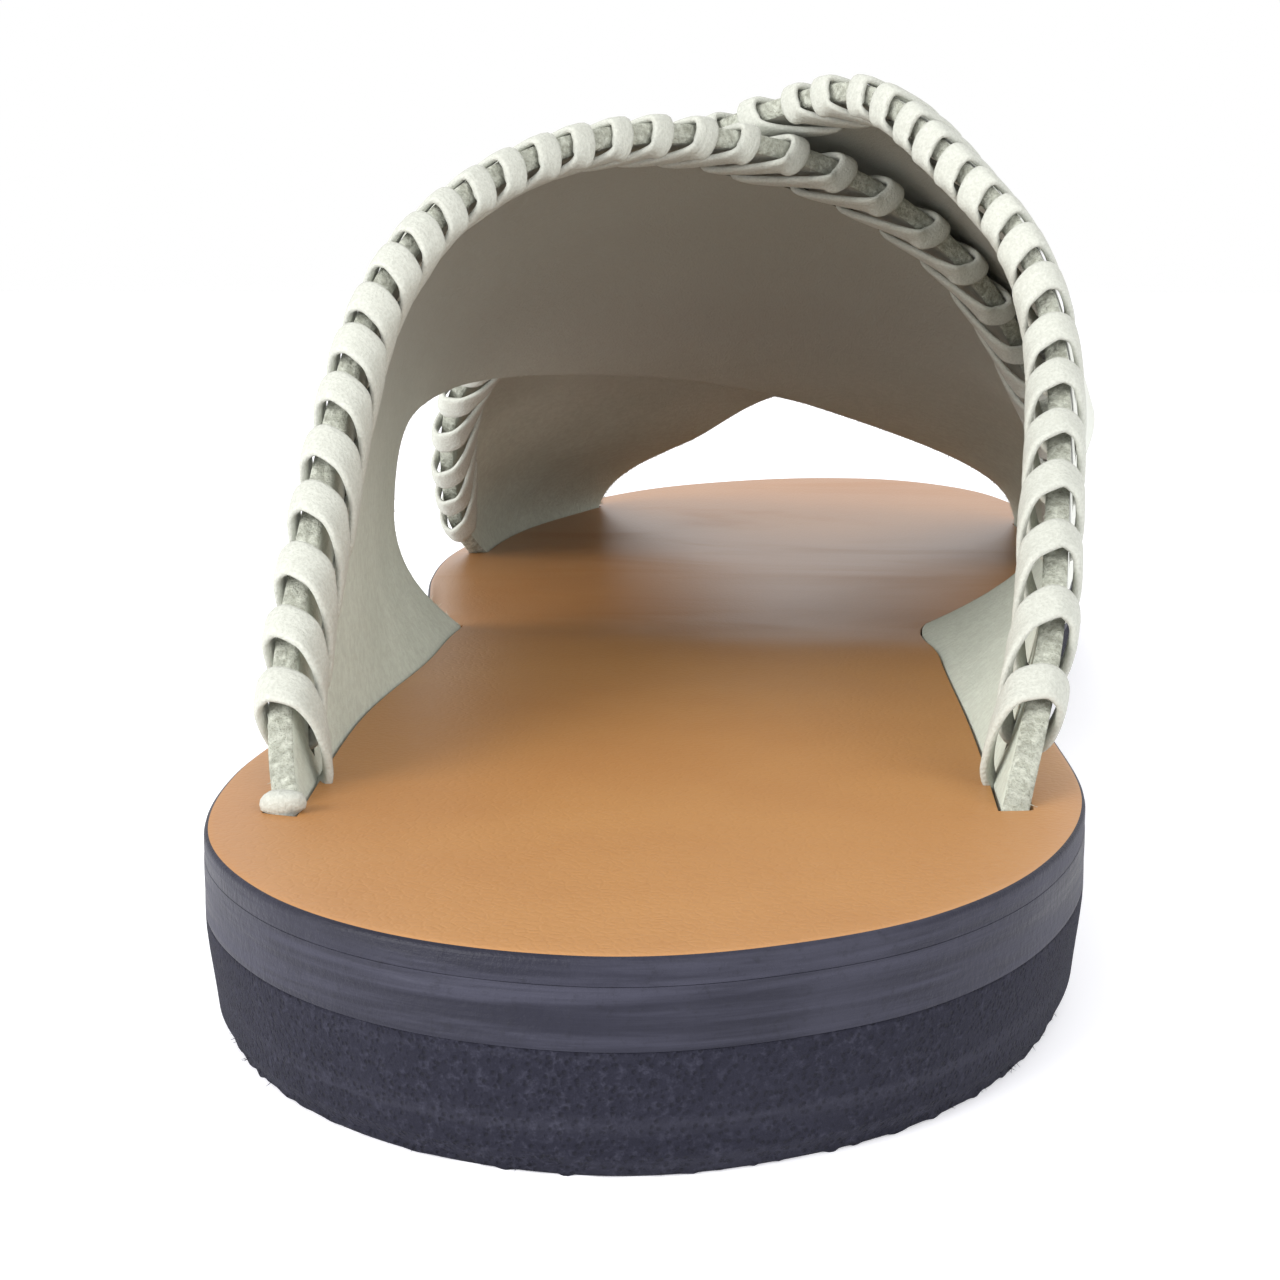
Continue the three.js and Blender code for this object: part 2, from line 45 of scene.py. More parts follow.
# Sole, in millimetres
LENGTH = 251
HALF_WIDTH = 45
HEEL_HEIGHT = 14.3
FOREFOOT_HEIGHT = 13.1
TOE_SPRING = 5
SPRING_START = 0.745
INSOLE_THICKNESS = 1.8
MIDSOLE_THICKNESS = 3.7
LAYER_GAP = 0.3
TREAD_INSET = 1.6
TREAD_RISE = 1.8
SIDE_INSET = 0.9
INSOLE_INSET = 0.06
TOP_RIM = 0.35
SEAM = 0.01
SHEET_RIM = 0.7
INWARD = [2.5, 5, 8, 12, 17, 22, 27, 32, 36, 39]
OUTLINE_STEPS = 260
TREAD_STEPS = 560
CREST_STATIONS = (84, 104, 120)
HOLLOW_STATIONS = (104, 128, 175)
CREST_RISE = 0.28
HOLLOW_DROP = 0.22

# Straps, in millimetres
INSTEP_HEIGHT = 53.2
WALL = 2
FLARE_HEIGHT = 14
STRAP_DEPTH = 4
SLOT_CLEARANCE = 0.3
EDGE_ROUNDING = 0.3
GLUE_DEPTH = 0.9
GLUE_WIDTH = 0.14
GLUE_GROOVE = 0.05
STRAP_STEPS = 190
ACROSS_STEPS = 64
SLOT_STEPS = 24
SHARP_DEGREES = 60

# Lace, in millimetres
LACE_WIDTH = 3.1
LACE_GATHERED = 1.9
LACE_THICKNESS = 0.8
LACE_PITCH = 8
LACE_REACH = 6
LACE_CLEARANCE = 0.45
LACE_START = 10.5
LACE_FOOT = 3.8
LACE_TAIL = 4.5
TAIL_REACH = 2.5
LACE_SECTION = 14
HOLE_ROOM = 0.6
TIP_THICKNESS = 2
JOIN_DEPTH = 0.15
LIFT_LEAD = 6
LIFT_BLEND = 24

# Loose fibres, in millimetres: length, root and tip
STRAP_FIBRE = 0.85
TREAD_FIBRE = 0.6
FIBRE_RADII = (0.035, 0.01)
TREAD_FIBRE_INSET = TREAD_INSET - 0.1

# From the heel tip on the sandal's centre line to the middle of its box
ORIGIN = np.array([1.9575, -125.5, 0.0])

# Outline of the footbed: shares of the length and of half the ball width
OUTLINE = {
    "along": [0, 0.012, 0.04, 0.09, 0.16, 0.25, 0.34, 0.43, 0.52, 0.61, 0.7, 0.78, 0.86, 0.92, 0.965,
              0.99, 1],
    "lateral": [-0.019, 0.269, 0.477, 0.654, 0.739, 0.741, 0.739, 0.777, 0.868, 0.976, 1.04, 1.034, 0.955,
                0.792, 0.538, 0.211, -0.158],
    "medial": [0.019, 0.264, 0.477, 0.649, 0.739, 0.718, 0.667, 0.678, 0.783, 0.876, 0.945, 0.961, 0.934,
               0.844, 0.697, 0.48, 0.201],
}

# Sections of the last: bases, widest points and ridge as shares of half the ball width, crown
# as a share of the instep height, power as the squareness of the arch
LAST = {
    "along": [0.114, 0.25, 0.389, 0.489, 0.588, 0.708, 0.827, 0.935],
    "base_lateral": [0.547, 0.642, 0.664, 0.716, 0.836, 0.933, 0.899, 0.622],
    "base_medial": [0.605, 0.571, 0.518, 0.48, 0.673, 0.844, 0.844, 0.697],
    "wide_lateral": [0.623, 0.66, 0.78, 0.862, 0.941, 1.019, 0.939, 0.644],
    "wide_medial": [0.635, 0.69, 0.775, 0.8, 0.874, 0.918, 0.908, 0.771],
    "crown": [0.982, 0.982, 1, 0.881, 0.716, 0.514, 0.312, 0.165],
    "ridge": [0.067, 0.089, 0.111, 0.133, 0.133, 0.111, 0.044, 0.032],
    "power": [4.8, 4.8, 4.3, 3.6, 2.9, 2.4, 1.8, 1.7],
}

# Edges of the straps as shares of the length, from the lateral base over the instep to the
# medial base
EDGES = {
    "turn": [0, 0.05, 0.1, 0.15, 0.2, 0.3, 0.4, 0.5, 0.6, 0.7, 0.8, 0.85, 0.9, 0.95, 1],
    "under_rear": [0.123, 0.164, 0.197, 0.228, 0.253, 0.293, 0.355, 0.425, 0.473, 0.517, 0.588, 0.63, 0.668,
                   0.694, 0.708],
    "under_front": [0.457, 0.422, 0.415, 0.441, 0.521, 0.644, 0.718, 0.773, 0.813, 0.841, 0.859, 0.865,
                    0.871, 0.873, 0.867],
    "over_rear": [0.722, 0.696, 0.672, 0.644, 0.616, 0.552, 0.487, 0.429, 0.377, 0.345, 0.309, 0.27, 0.226,
                  0.184, 0.146],
    "over_front": [0.903, 0.905, 0.903, 0.899, 0.893, 0.873, 0.831, 0.766, 0.696, 0.626, 0.568, 0.529,
                   0.505, 0.485, 0.493],
}

# Steps between the turns of each lace as shares of its widest pitch
PITCHES = {
    "turn": [0, 0.1, 0.2, 0.3, 0.4, 0.5, 0.6, 0.7, 0.8, 0.9, 1],
    "under": [0.7, 0.82, 0.63, 0.55, 0.62, 0.82, 0.94, 0.95, 0.94, 0.94, 0.94],
    "over": [0.88, 0.88, 0.88, 0.85, 0.8, 0.72, 0.52, 0.51, 0.76, 0.99, 1],
}


# Run of the lace from the edge to the next hole: share of the pitch, way in, stand-off
LACE_BOW = [(-0.02, -1.25, 0.35), (0.12, -0.35, 0.95), (0.3, 1.0, 1.3), (0.5, 2.5, 1.25),
            (0.7, 3.9, 0.95), (0.88, 5.1, 0.45)]

# End of the lace in its slot: rise, half width, half thickness
TIP_ROWS = [(-STRAP_DEPTH, 1.0, 0.8), (-0.1, 1.15, 0.9), (0.05, 1.45, 1.0), (0.2, 1.7, 1.1),
            (0.6, 1.78, 1.15), (1.0, 1.7, 1.08), (1.32, 1.45, 0.86), (1.52, 1.0, 0.6),
            (1.6, 0.4, 0.25), (1.61, 0.02, 0.02)]


# Curves and surfaces

def column(table, name, positions, size=1.0):
    """Smooth curve through one column of a table."""
    at = np.array(positions, float)
    values = np.array(table[name], float) * size

    def curve(place):
        place = np.clip(np.asarray(place, float), at[0], at[-1])
        i = np.clip(np.searchsorted(at, place, side="right"), 1, len(at) - 1)
        first, last = i < 2, i + 1 >= len(at)
        before = np.where(first, i, i - 2)
        after = np.where(last, i - 1, np.minimum(i + 1, len(at) - 1))
        t0, t1 = at[i - 1], at[i]
        half = (t1 - t0) / 2
        wp = half / (t0 - at[before])
        wn = half / (at[after] - t1)
        p = (place - t0) / (t1 - t0)
        return (values[before] * (-wp * p**3 + 2 * wp * p**2 - wp * p)
                + values[i - 1] * ((1 + wp) * p**3 + (-1.5 - 2 * wp) * p**2 + (-0.5 + wp) * p + 1)
                + values[i] * ((-1 - wn) * p**3 + (1.5 + wn) * p**2 + 0.5 * p)
                + values[after] * (wn * p**3 - wn * p**2))

    return curve


outline_turns = np.arccos(1 - 2 * np.array(OUTLINE["along"])) / math.pi
lateral_edge = column(OUTLINE, "lateral", outline_turns, -HALF_WIDTH)
medial_edge = column(OUTLINE, "medial", outline_turns, HALF_WIDTH)
last_stations = np.array(LAST["along"]) * LENGTH
base_lateral = column(LAST, "base_lateral", last_stations, -HALF_WIDTH)
base_medial = column(LAST, "base_medial", last_stations, HALF_WIDTH)
wide_lateral = column(LAST, "wide_lateral", last_stations, -HALF_WIDTH)
wide_medial = column(LAST, "wide_medial", last_stations, HALF_WIDTH)
crown = column(LAST, "crown", last_stations, INSTEP_HEIGHT)
ridge = column(LAST, "ridge", last_stations, HALF_WIDTH)
power = column(LAST, "power", last_stations)
STRAPS = {
    name: {
        "rear": column(EDGES, name + "_rear", EDGES["turn"], LENGTH),
        "front": column(EDGES, name + "_front", EDGES["turn"], LENGTH),
        "pitch": column(PITCHES, name, PITCHES["turn"], LACE_PITCH),
    }
    for name in ("under", "over")
}


def smooth_step(x, low, high):
    t = np.clip((x - low) / (high - low), 0, 1)
    return t * t * (3 - 2 * t)


def swell(y, start, middle, end):
    """Rises from nothing to one at the middle and falls off again."""
    return smooth_step(y, start, middle) * (1 - smooth_step(y, middle, end))


def spring_at(y):
    share = np.maximum(0, (y / LENGTH - SPRING_START) / (1 - SPRING_START))
    return TOE_SPRING * share * share


def footbed_at(y):
    drop = smooth_step(y, 0.17 * LENGTH, 0.75 * LENGTH)
    return HEEL_HEIGHT + (FOREFOOT_HEIGHT - HEEL_HEIGHT) * drop + spring_at(y)


def last_point(turn, y):
    """Inner face of the straps around the foot."""
    turn, y = np.broadcast_arrays(np.asarray(turn, float), np.asarray(y, float))
    lateral = turn < 0.5
    base = np.where(lateral, base_lateral(y), base_medial(y))
    wide = np.where(lateral, wide_lateral(y), wide_medial(y))
    rise = np.sin(math.pi * np.clip(turn, 0, 1))
    height = crown(y) * rise
    spread = np.sqrt(np.maximum(0, 1 - rise ** power(y)))
    drawn_in = np.maximum(0, 1 - height / FLARE_HEIGHT) ** 2
    x = ridge(y) + (wide - ridge(y)) * spread + (base - wide) * drawn_in
    outside = np.maximum(np.maximum(-turn, turn - 1), 0)
    x = np.where(outside > 0, base, x)
    z = footbed_at(y) + np.where(outside > 0, -outside * INSTEP_HEIGHT * math.pi, height)
    return np.stack([x, y, z], axis=-1)


TURN_STEP = 0.006
STATION_STEP = 0.5


def normal_of(surface, turn, y):
    around = surface(turn + TURN_STEP, y) - surface(turn - TURN_STEP, y)
    along = surface(turn, y + STATION_STEP) - surface(turn, y - STATION_STEP)
    normal = np.cross(around, along)
    return normal / np.linalg.norm(normal, axis=-1, keepdims=True)


ARCH_LENGTH = INSTEP_HEIGHT * 2.8
EDGE_CHORDS = 48


def edge_distance(edge, turn, y):
    """Distance over the leather from a strap's edge, counted towards the toe."""
    knots = np.linspace(0, 1, EDGE_CHORDS + 1)
    line = np.stack([knots * ARCH_LENGTH, edge(knots)], axis=-1)
    start, step = line[:-1], line[1:] - line[:-1]
    place = np.stack([turn * ARCH_LENGTH, y], axis=-1)[..., None, :]
    share = np.clip(((place - start) * step).sum(-1) / (step * step).sum(-1), 0, 1)
    away = np.linalg.norm(place - start - share[..., None] * step, axis=-1).min(-1)
    return np.sign(y - edge(turn)) * away


def lift_of(strap, turn, y):
    """The upper strap climbs over the lower one and over the laces between them."""
    turn, y = np.broadcast_arrays(np.asarray(turn, float), np.asarray(y, float))
    if strap == "under":
        return np.zeros(turn.shape)
    behind = -edge_distance(STRAPS["under"]["rear"], turn, y)
    ahead = edge_distance(STRAPS["under"]["front"], turn, y)
    crossing = 1 - smooth_step(np.maximum(behind, ahead), LIFT_LEAD, LIFT_LEAD + LIFT_BLEND)
    laces = [1 - smooth_step(np.abs(edge_distance(STRAPS[name]["rear"], turn, y)), LACE_REACH + 6,
                             LACE_REACH + 22) for name in ("under", "over")]
    room = (laces[0] + laces[1]) * (LACE_THICKNESS + LACE_CLEARANCE)
    room = room + np.maximum(laces[0], laces[1]) * (LACE_CLEARANCE + JOIN_DEPTH)
    lift = crossing * (WALL - JOIN_DEPTH + room)
    return np.where((turn <= 0) | (turn >= 1), 0, lift)


def strap_point(strap, turn, y, depth):
    turn, y, depth = np.broadcast_arrays(*(np.asarray(v, float) for v in (turn, y, depth)))
    height = (lift_of(strap, turn, y) + depth)[..., None]
    return last_point(turn, y) + normal_of(last_point, turn, y) * height


def strap_normal(strap, turn, y):
    return normal_of(lambda t, s: strap_point(strap, t, s, 0), turn, y)


# Mesh making

def piece_of(name, bm):
    mesh = bpy.data.meshes.new(name)
    bm.to_mesh(mesh)
    bm.free()
    piece = bpy.data.objects.new(name, mesh)
    bpy.context.scene.collection.objects.link(piece)
    return piece


def skin(name, points, uv, slots=None, fanned=False):
    """Mesh over rows of points, from a grid with a column for each point of a row."""
    rows, columns = points.shape[0] - 1, points.shape[1] - 1
    bm = bmesh.new()
    bmesh.ops.create_grid(bm, x_segments=columns, y_segments=rows, size=0.5)
    layer = bm.loops.layers.uv.new("surface")
    placed = {}
    for v in bm.verts:
        placed[v] = (round((v.co.y + 0.5) * rows), round((v.co.x + 0.5) * columns))
    for face in bm.faces:
        spots = [placed[loop.vert] for loop in face.loops]
        for loop, spot in zip(face.loops, spots):
            loop[layer].uv = uv[spot]
        if slots is not None:
            face.material_index = slots[min(s[1] for s in spots)]
        face.smooth = True
    placed_points = (points + ORIGIN) * MM
    for v, spot in placed.items():
        v.co = placed_points[spot]
    bmesh.ops.remove_doubles(bm, verts=bm.verts[:], dist=1e-7)
    open_edges = [e for e in bm.edges if e.is_boundary]
    filled = bmesh.ops.holes_fill(bm, edges=open_edges, sides=0)["faces"]
    if fanned:
        for face in bmesh.ops.triangulate(bm, faces=filled)["faces"]:
            face.smooth = True
    bmesh.ops.recalc_face_normals(bm, faces=bm.faces[:])
    return piece_of(name, bm)


def bored(piece, cutters):
    """Cuts the cutters out of a piece and drops them."""
    bpy.context.view_layer.objects.active = piece
    for cutter in cutters:
        cut = piece.modifiers.new("cut", "BOOLEAN")
        cut.operation = "DIFFERENCE"
        cut.solver = "EXACT"
        cut.object = cutter
        bpy.ops.object.modifier_apply(modifier=cut.name)
        mesh = cutter.data
        bpy.data.objects.remove(cutter)
        bpy.data.meshes.remove(mesh)
    piece.data.set_sharp_from_angle(angle=math.radians(SHARP_DEGREES))
    return piece


# Sole layers

def around_the_sole(steps):
    """Turns along the lateral edge and back along the medial edge, with the side's sign."""
    turns = np.linspace(0, 1, steps)
    lateral = [(t, -1) for t in turns]
    medial = [(t, 1) for t in turns[::-1]]
    return lateral + medial + lateral[:1]


def sole_layer(name, profile, slots, steps=OUTLINE_STEPS):
    """One layer of the sole: levels of inset and height, from the middle of the bottom round
    the side to the middle of the top."""
    spots = around_the_sole(steps)
    turn = np.array([s[0] for s in spots])
    side = np.array([s[1] for s in spots])
    edge = np.where(side < 0, lateral_edge(turn), medial_edge(turn))
    middle = (lateral_edge(turn) + medial_edge(turn)) / 2
    station = LENGTH / 2 * (1 - np.cos(math.pi * turn))
    columns, uvs = [], []
    run = np.concatenate([[0], np.cumsum(np.hypot(np.diff(edge), np.diff(station)))])
    way = 0.0
    for i, (inset, height) in enumerate(profile):
        y = LENGTH / 2 + (station - LENGTH / 2) * (1 - inset / (LENGTH / 2))
        x = middle + (edge - middle) * (1 - inset / HALF_WIDTH)
        z = height(y, run)
        columns.append(np.stack([x, y, z], axis=-1))
        if i:
            way += float(np.hypot(inset - profile[i - 1][0], np.mean(z - columns[-2][:, 2])))
        uvs.append(np.stack([run, np.full_like(run, way)], axis=-1) * MM)
    return skin(name, np.stack(columns, axis=1), np.stack(uvs, axis=1), slots, fanned=True)


def worn_footbed(y):
    """Top of the footbed, with the faint crest that lies across it behind the forefoot."""
    return footbed_at(y) + CREST_RISE * swell(y, *CREST_STATIONS) - HOLLOW_DROP * swell(y, *HOLLOW_STATIONS)


def insole_bottom(y):
    return footbed_at(y) - INSOLE_THICKNESS


def midsole_top(y):
    return insole_bottom(y) - SEAM


def midsole_bottom(y):
    return insole_bottom(y) - LAYER_GAP - MIDSOLE_THICKNESS


def outsole_top(y):
    return midsole_bottom(y) - SEAM


def wander(run, seed, spacing, size):
    """Slow random wave along the edge that meets itself after one way round."""
    count = max(3, int(run[-1] / spacing))
    knots = np.random.default_rng(seed).normal(0, size, count)
    knots = np.append(knots, knots[0])
    return np.interp(run, np.linspace(0, run[-1], count + 1), knots)


def level(surface, up=0.0, seed=0, spacing=3.0, size=0.0):
    """Height of one level of a layer over the surface that it follows."""
    return lambda y, run: surface(y) + up + (wander(run, seed, spacing, size) if size else 0)


def make_insole():
    top = [(i, level(worn_footbed)) for i in [INSOLE_INSET + TOP_RIM * 2.4] + INWARD]
    bottom = [(i, level(insole_bottom)) for i in INWARD[::-1]]
    profile = bottom + [
        (INSOLE_INSET, level(insole_bottom)),
        (INSOLE_INSET, level(insole_bottom, 0.05)),
        (INSOLE_INSET, level(footbed_at, -TOP_RIM * 1.3)),
        (INSOLE_INSET + TOP_RIM * 0.25, level(footbed_at, -TOP_RIM * 0.5)),
        (INSOLE_INSET + TOP_RIM, level(footbed_at, -0.05)),
    ] + top
    side = len(bottom) + 4
    return sole_layer("footbed", profile, [1] * side + [0] * (len(profile) - side))


def make_midsole():
    top = [(i, level(midsole_top)) for i in [SHEET_RIM] + INWARD]
    bottom = [(i, level(midsole_bottom)) for i in INWARD[::-1]]
    profile = bottom + [
        (0.01, level(midsole_bottom)),
        (0.0, level(midsole_bottom, 0.05)),
        (0.0, level(midsole_bottom, 0.3)),
        (0.03, level(midsole_bottom, 1.6)),
        (0.01, level(midsole_bottom, 2.8)),
        (0.03, level(midsole_top, -0.2)),
        (0.045, level(midsole_top, -0.02)),
    ] + top
    return sole_layer("midsole_layer", profile, [0] * len(profile))


def side_at(y, share):
    """Height of the outsole's side at a share of the way from the rim to the top."""
    start = spring_at(y) + TREAD_RISE * 0.4
    return start + (outsole_top(y) - start) * share


def make_outsole():
    top = [(i, level(outsole_top)) for i in [SHEET_RIM] + INWARD]
    bottom = [(i, level(spring_at)) for i in INWARD[::-1]]
    profile = bottom + [
        (TREAD_INSET + 0.2, level(spring_at)),
        (TREAD_INSET - 0.1, level(spring_at, 0.2, 3, 0.8, 0.1)),
        (TREAD_INSET - 0.2, level(spring_at, 0.65, 4, 1.3, 0.12)),
    ]
    for share in (0.12, 0.3, 0.5, 0.7, 0.86):
        inset = SIDE_INSET * (1 - share) ** 1.3 + 0.05 * math.sin(5 * share)
        profile.append((max(0.03, inset), level(lambda y, s=share: side_at(y, s))))
    profile += [(0.0, level(outsole_top, -0.3)), (0.015, level(outsole_top, -0.03))] + top
    return sole_layer("outsole_block", profile, [0] * len(profile), TREAD_STEPS)


# Straps

def strap_profile():
    """Points round a strap's section: across from the rear, offset from the nearer edge, depth,
    and the leather that shows there."""
    r = EDGE_ROUNDING
    cut = [(0.3 * r, 0.3 * r), (r, r), (r, GLUE_DEPTH - GLUE_WIDTH), (r - GLUE_GROOVE, GLUE_DEPTH),
           (r, GLUE_DEPTH + GLUE_WIDTH), (r, WALL - r), (0.3 * r, WALL - 0.3 * r)]
    inner = [(s, 0.0, 0.0, 0) for s in np.linspace(0, 1, ACROSS_STEPS)]
    front = [(1, offset, depth, 2) for offset, depth in cut]
    outer = [(s, 0.0, WALL, 1) for s in np.linspace(1, 0, ACROSS_STEPS)]
    rear = [(0, offset, depth, 2) for offset, depth in reversed(cut)]
    return inner + front + outer + rear


def strap_rows(strap, turns, profile, grow=0.0, tail=0.0):
    """Rows of points round a strap at each turn, with the surface's way along and across."""
    edges = STRAPS[strap]
    seen = np.clip(turns, 0, 1)
    low = edges["rear"](seen) - grow - tail + EDGE_ROUNDING
    high = edges["front"](seen) + grow - EDGE_ROUNDING
    points, uvs = [], []
    arc = turns * ARCH_LENGTH
    for share, offset, depth, _ in profile + profile[:1]:
        out = offset if share >= 1 else -offset if share <= 0 else 0
        y = low + (high - low) * share + out
        level_depth = depth if not grow else (WALL + grow if depth > WALL / 2 else -grow)
        points.append(strap_point(strap, turns, y, level_depth))
        uvs.append(np.stack([arc, y + (200 if depth > WALL / 2 else 0)], axis=-1) * MM)
    return np.stack(points, axis=1), np.stack(uvs, axis=1)


DEPTH_TURN = STRAP_DEPTH / (INSTEP_HEIGHT * math.pi)


def make_strap(name, strap):
    turns = np.concatenate([[-DEPTH_TURN, -DEPTH_TURN * 0.5], np.linspace(0, 1, STRAP_STEPS),
                            [1 + DEPTH_TURN * 0.5, 1 + DEPTH_TURN]])
    profile = strap_profile()
    points, uvs = strap_rows(strap, turns, profile)
    kinds = [p[3] for p in profile]
    slots = [2 if 2 in (kind, following) else kind for kind, following in zip(kinds, kinds[1:] + kinds[:1])]
    return skin(name, points, uvs, slots)


def make_slot(strap, side, tail=0.0):
    """Cutter for the slot that takes one foot of a strap."""
    below = DEPTH_TURN + SLOT_CLEARANCE / (INSTEP_HEIGHT * math.pi)
    turns = np.array([-below, -DEPTH_TURN * 0.55, 0, 0.01, 1 / 28])
    turns = turns if side < 0 else (1 - turns)
    profile = [(s, 0.0, 0.0, 0) for s in np.linspace(0, 1, SLOT_STEPS)]
    profile += [(s, 0.0, WALL, 1) for s in np.linspace(1, 0, SLOT_STEPS)]
    points, uvs = strap_rows(strap, turns, profile, SLOT_CLEARANCE, tail)
    return skin("slot", points, uvs)


def make_slots():
    tail = TIP_THICKNESS + 2 * SLOT_CLEARANCE
    return [make_slot("under", -1, tail), make_slot("under", 1), make_slot("over", -1), make_slot("over", 1)]


# Lace

class LacedEdge:
    """The rear edge of a strap, with places counted along it from the lateral base."""

    def __init__(self, strap):
        self.strap = strap
        self.turns = np.linspace(0, 1, 401)
        points = strap_point(strap, self.turns, STRAPS[strap]["rear"](self.turns), WALL / 2)
        self.lengths = np.concatenate([[0], np.cumsum(np.linalg.norm(np.diff(points, axis=0), axis=1))])
        self.length = self.lengths[-1]

    def place(self, distance, inset, depth):
        """Point, leather normal and lace width direction at places in from the edge."""
        strap, rear = self.strap, STRAPS[self.strap]["rear"]
        turn = np.interp(distance, self.lengths, self.turns)
        y = rear(turn)

        def on_edge(t):
            return strap_point(strap, t, rear(t), 0)

        tangent = on_edge(turn + TURN_STEP) - on_edge(turn - TURN_STEP)
        tangent /= np.linalg.norm(tangent, axis=-1, keepdims=True)
        inward = np.cross(tangent, strap_normal(strap, turn, y))
        inward /= np.linalg.norm(inward, axis=-1, keepdims=True)
        inward = np.where(inward[..., 1:2] < 0, -inward, inward)
        around = (strap_point(strap, turn + TURN_STEP, y, 0)
                  - strap_point(strap, turn - TURN_STEP, y, 0))
        along = (strap_point(strap, turn, y + STATION_STEP, 0)
                 - strap_point(strap, turn, y - STATION_STEP, 0))
        around, along = around / (2 * TURN_STEP), along / (2 * STATION_STEP)
        aa, ab, bb = (around * around).sum(-1), (around * along).sum(-1), (along * along).sum(-1)
        ai, bi = (around * inward).sum(-1), (along * inward).sum(-1)
        spread = aa * bb - ab * ab
        turn = turn + (ai * bb - bi * ab) / spread * inset
        y = y + (bi * aa - ai * ab) / spread * inset
        normal = strap_normal(strap, turn, y)
        width = tangent - normal * (tangent * normal).sum(-1, keepdims=True)
        width /= np.linalg.norm(width, axis=-1, keepdims=True)
        point = strap_point(strap, turn, y, 0) + normal * np.asarray(depth)[..., None]
        return point, normal, width

    def reach(self, distance):
        return np.minimum(LACE_REACH, 0.8 * np.minimum(distance, self.length - distance) - LACE_FOOT)

    def holes(self):
        end = self.length - LACE_START
        at = [float(LACE_START)]
        while at[-1] < end:
            turn = np.interp(at[-1], self.lengths, self.turns)
            at.append(at[-1] + float(STRAPS[self.strap]["pitch"](turn)))
        return LACE_START + (np.array(at) - LACE_START) * (end - LACE_START) / (at[-1] - LACE_START)


def lace_route(edge, forwards, seed):
    """Route of a whipped lace as distance, inset, depth and width: up the outer face, over the
    edge, and slanting down the inner face to the next hole."""
    rng = np.random.default_rng(seed)
    clear = LACE_THICKNESS / 2 + 0.12
    inside, outside = -clear, WALL + clear
    holes = edge.holes()
    order = holes if forwards else holes[::-1]
    step = 1 if forwards else -1
    narrow = LACE_GATHERED / LACE_WIDTH
    route = [(order[0] - step * LACE_TAIL, TAIL_REACH, inside, 0.9)]
    for i, here in enumerate(order):
        reach = edge.reach(here)
        last = i + 1 == len(order)
        following = here + step * LACE_TAIL if last else order[i + 1]
        next_reach = LACE_REACH if last else edge.reach(following)
        pitch = abs(following - here)
        puff = rng.uniform(-0.12, 0.15)
        sway = rng.normal(0, 0.03) * pitch
        route.append((here, reach, inside + 0.3, narrow))
        route.append((here, reach, WALL / 2, narrow))
        route.append((here, reach, outside - 0.3, narrow))
        middle = here / edge.length
        loose = float(smooth_step(abs(middle - 0.5), 0.12, 0.32)) + puff
        wide = 0.8 + 0.27 * loose
        arch = step * pitch * 0.2
        route.append((here - arch * 0.1, reach * 0.7, outside + 0.2 * loose, wide * 0.9))
        route.append((here - arch * 0.5 + sway, reach * 0.3, outside + 0.35 * loose, wide * 0.96))
        route.append((here - arch + sway, -0.35, outside + 0.25 * loose, wide))
        route.append((here - arch * 1.1 + sway, -0.55 - loose, WALL * 0.8, wide))
        route.append((here - arch * 0.8 + sway, -0.62 - loose, WALL * 0.25, wide))
        for share, inset, slack in LACE_BOW:
            lean = here + sway + (following - here - sway) * share
            across = inset * (0.35 + 0.65 * loose) if inset < 0 else inset * next_reach / LACE_REACH
            taper = 1 - 0.4 * max(0.0, share) ** 3
            route.append((lean, across, inside - slack * (0.4 + 0.6 * loose), wide * taper))
    route.append((order[-1] + step * LACE_TAIL, LACE_REACH + 0.6, WALL * 0.4, 0.5))
    return np.array(route)


def softened(route, times=2):
    """Cuts the corners of a route, keeping its ends."""
    for _ in range(times):
        near = route[:-1] * 0.75 + route[1:] * 0.25
        far = route[:-1] * 0.25 + route[1:] * 0.75
        middle = np.stack([near, far], axis=1).reshape(-1, route.shape[1])
        route = np.concatenate([route[:1], middle, route[-1:]])
    return route


def make_lace(name, strap, forwards, seed):
    edge = LacedEdge(strap)
    route = softened(lace_route(edge, forwards, seed))
    point, _, width = edge.place(route[:, 0], route[:, 1], route[:, 2])
    ahead = np.gradient(point, axis=0)
    ahead /= np.linalg.norm(ahead, axis=1, keepdims=True)
    width = width - ahead * (width * ahead).sum(-1, keepdims=True)
    width /= np.linalg.norm(width, axis=1, keepdims=True)
    for _ in range(3):
        width[1:-1] = width[:-2] * 0.25 + width[1:-1] * 0.5 + width[2:] * 0.25
        width /= np.linalg.norm(width, axis=1, keepdims=True)
    side = np.cross(ahead, width)
    run = np.concatenate([[0], np.cumsum(np.linalg.norm(np.diff(point, axis=0), axis=1))])
    plump = 1 + wander(run, seed + 5, 9.0, 0.035)
    section = []
    for k in range(LACE_SECTION + 1):
        a = 2 * math.pi * k / LACE_SECTION
        flat = abs(math.cos(a)) ** 0.55 * math.copysign(1, math.cos(a))
        thick = abs(math.sin(a)) ** 0.75 * math.copysign(1, math.sin(a))
        section.append((flat * LACE_WIDTH / 2, thick * LACE_THICKNESS / 2))
    plump = plump * route[:, 3]
    points = np.stack([point + width * (f * plump)[:, None] + side * t for f, t in section], axis=1)
    uvs = np.stack([np.stack([run * MM, np.full_like(run, f * MM)], axis=-1) for f, _ in section], axis=1)
    return skin(name, points, uvs)


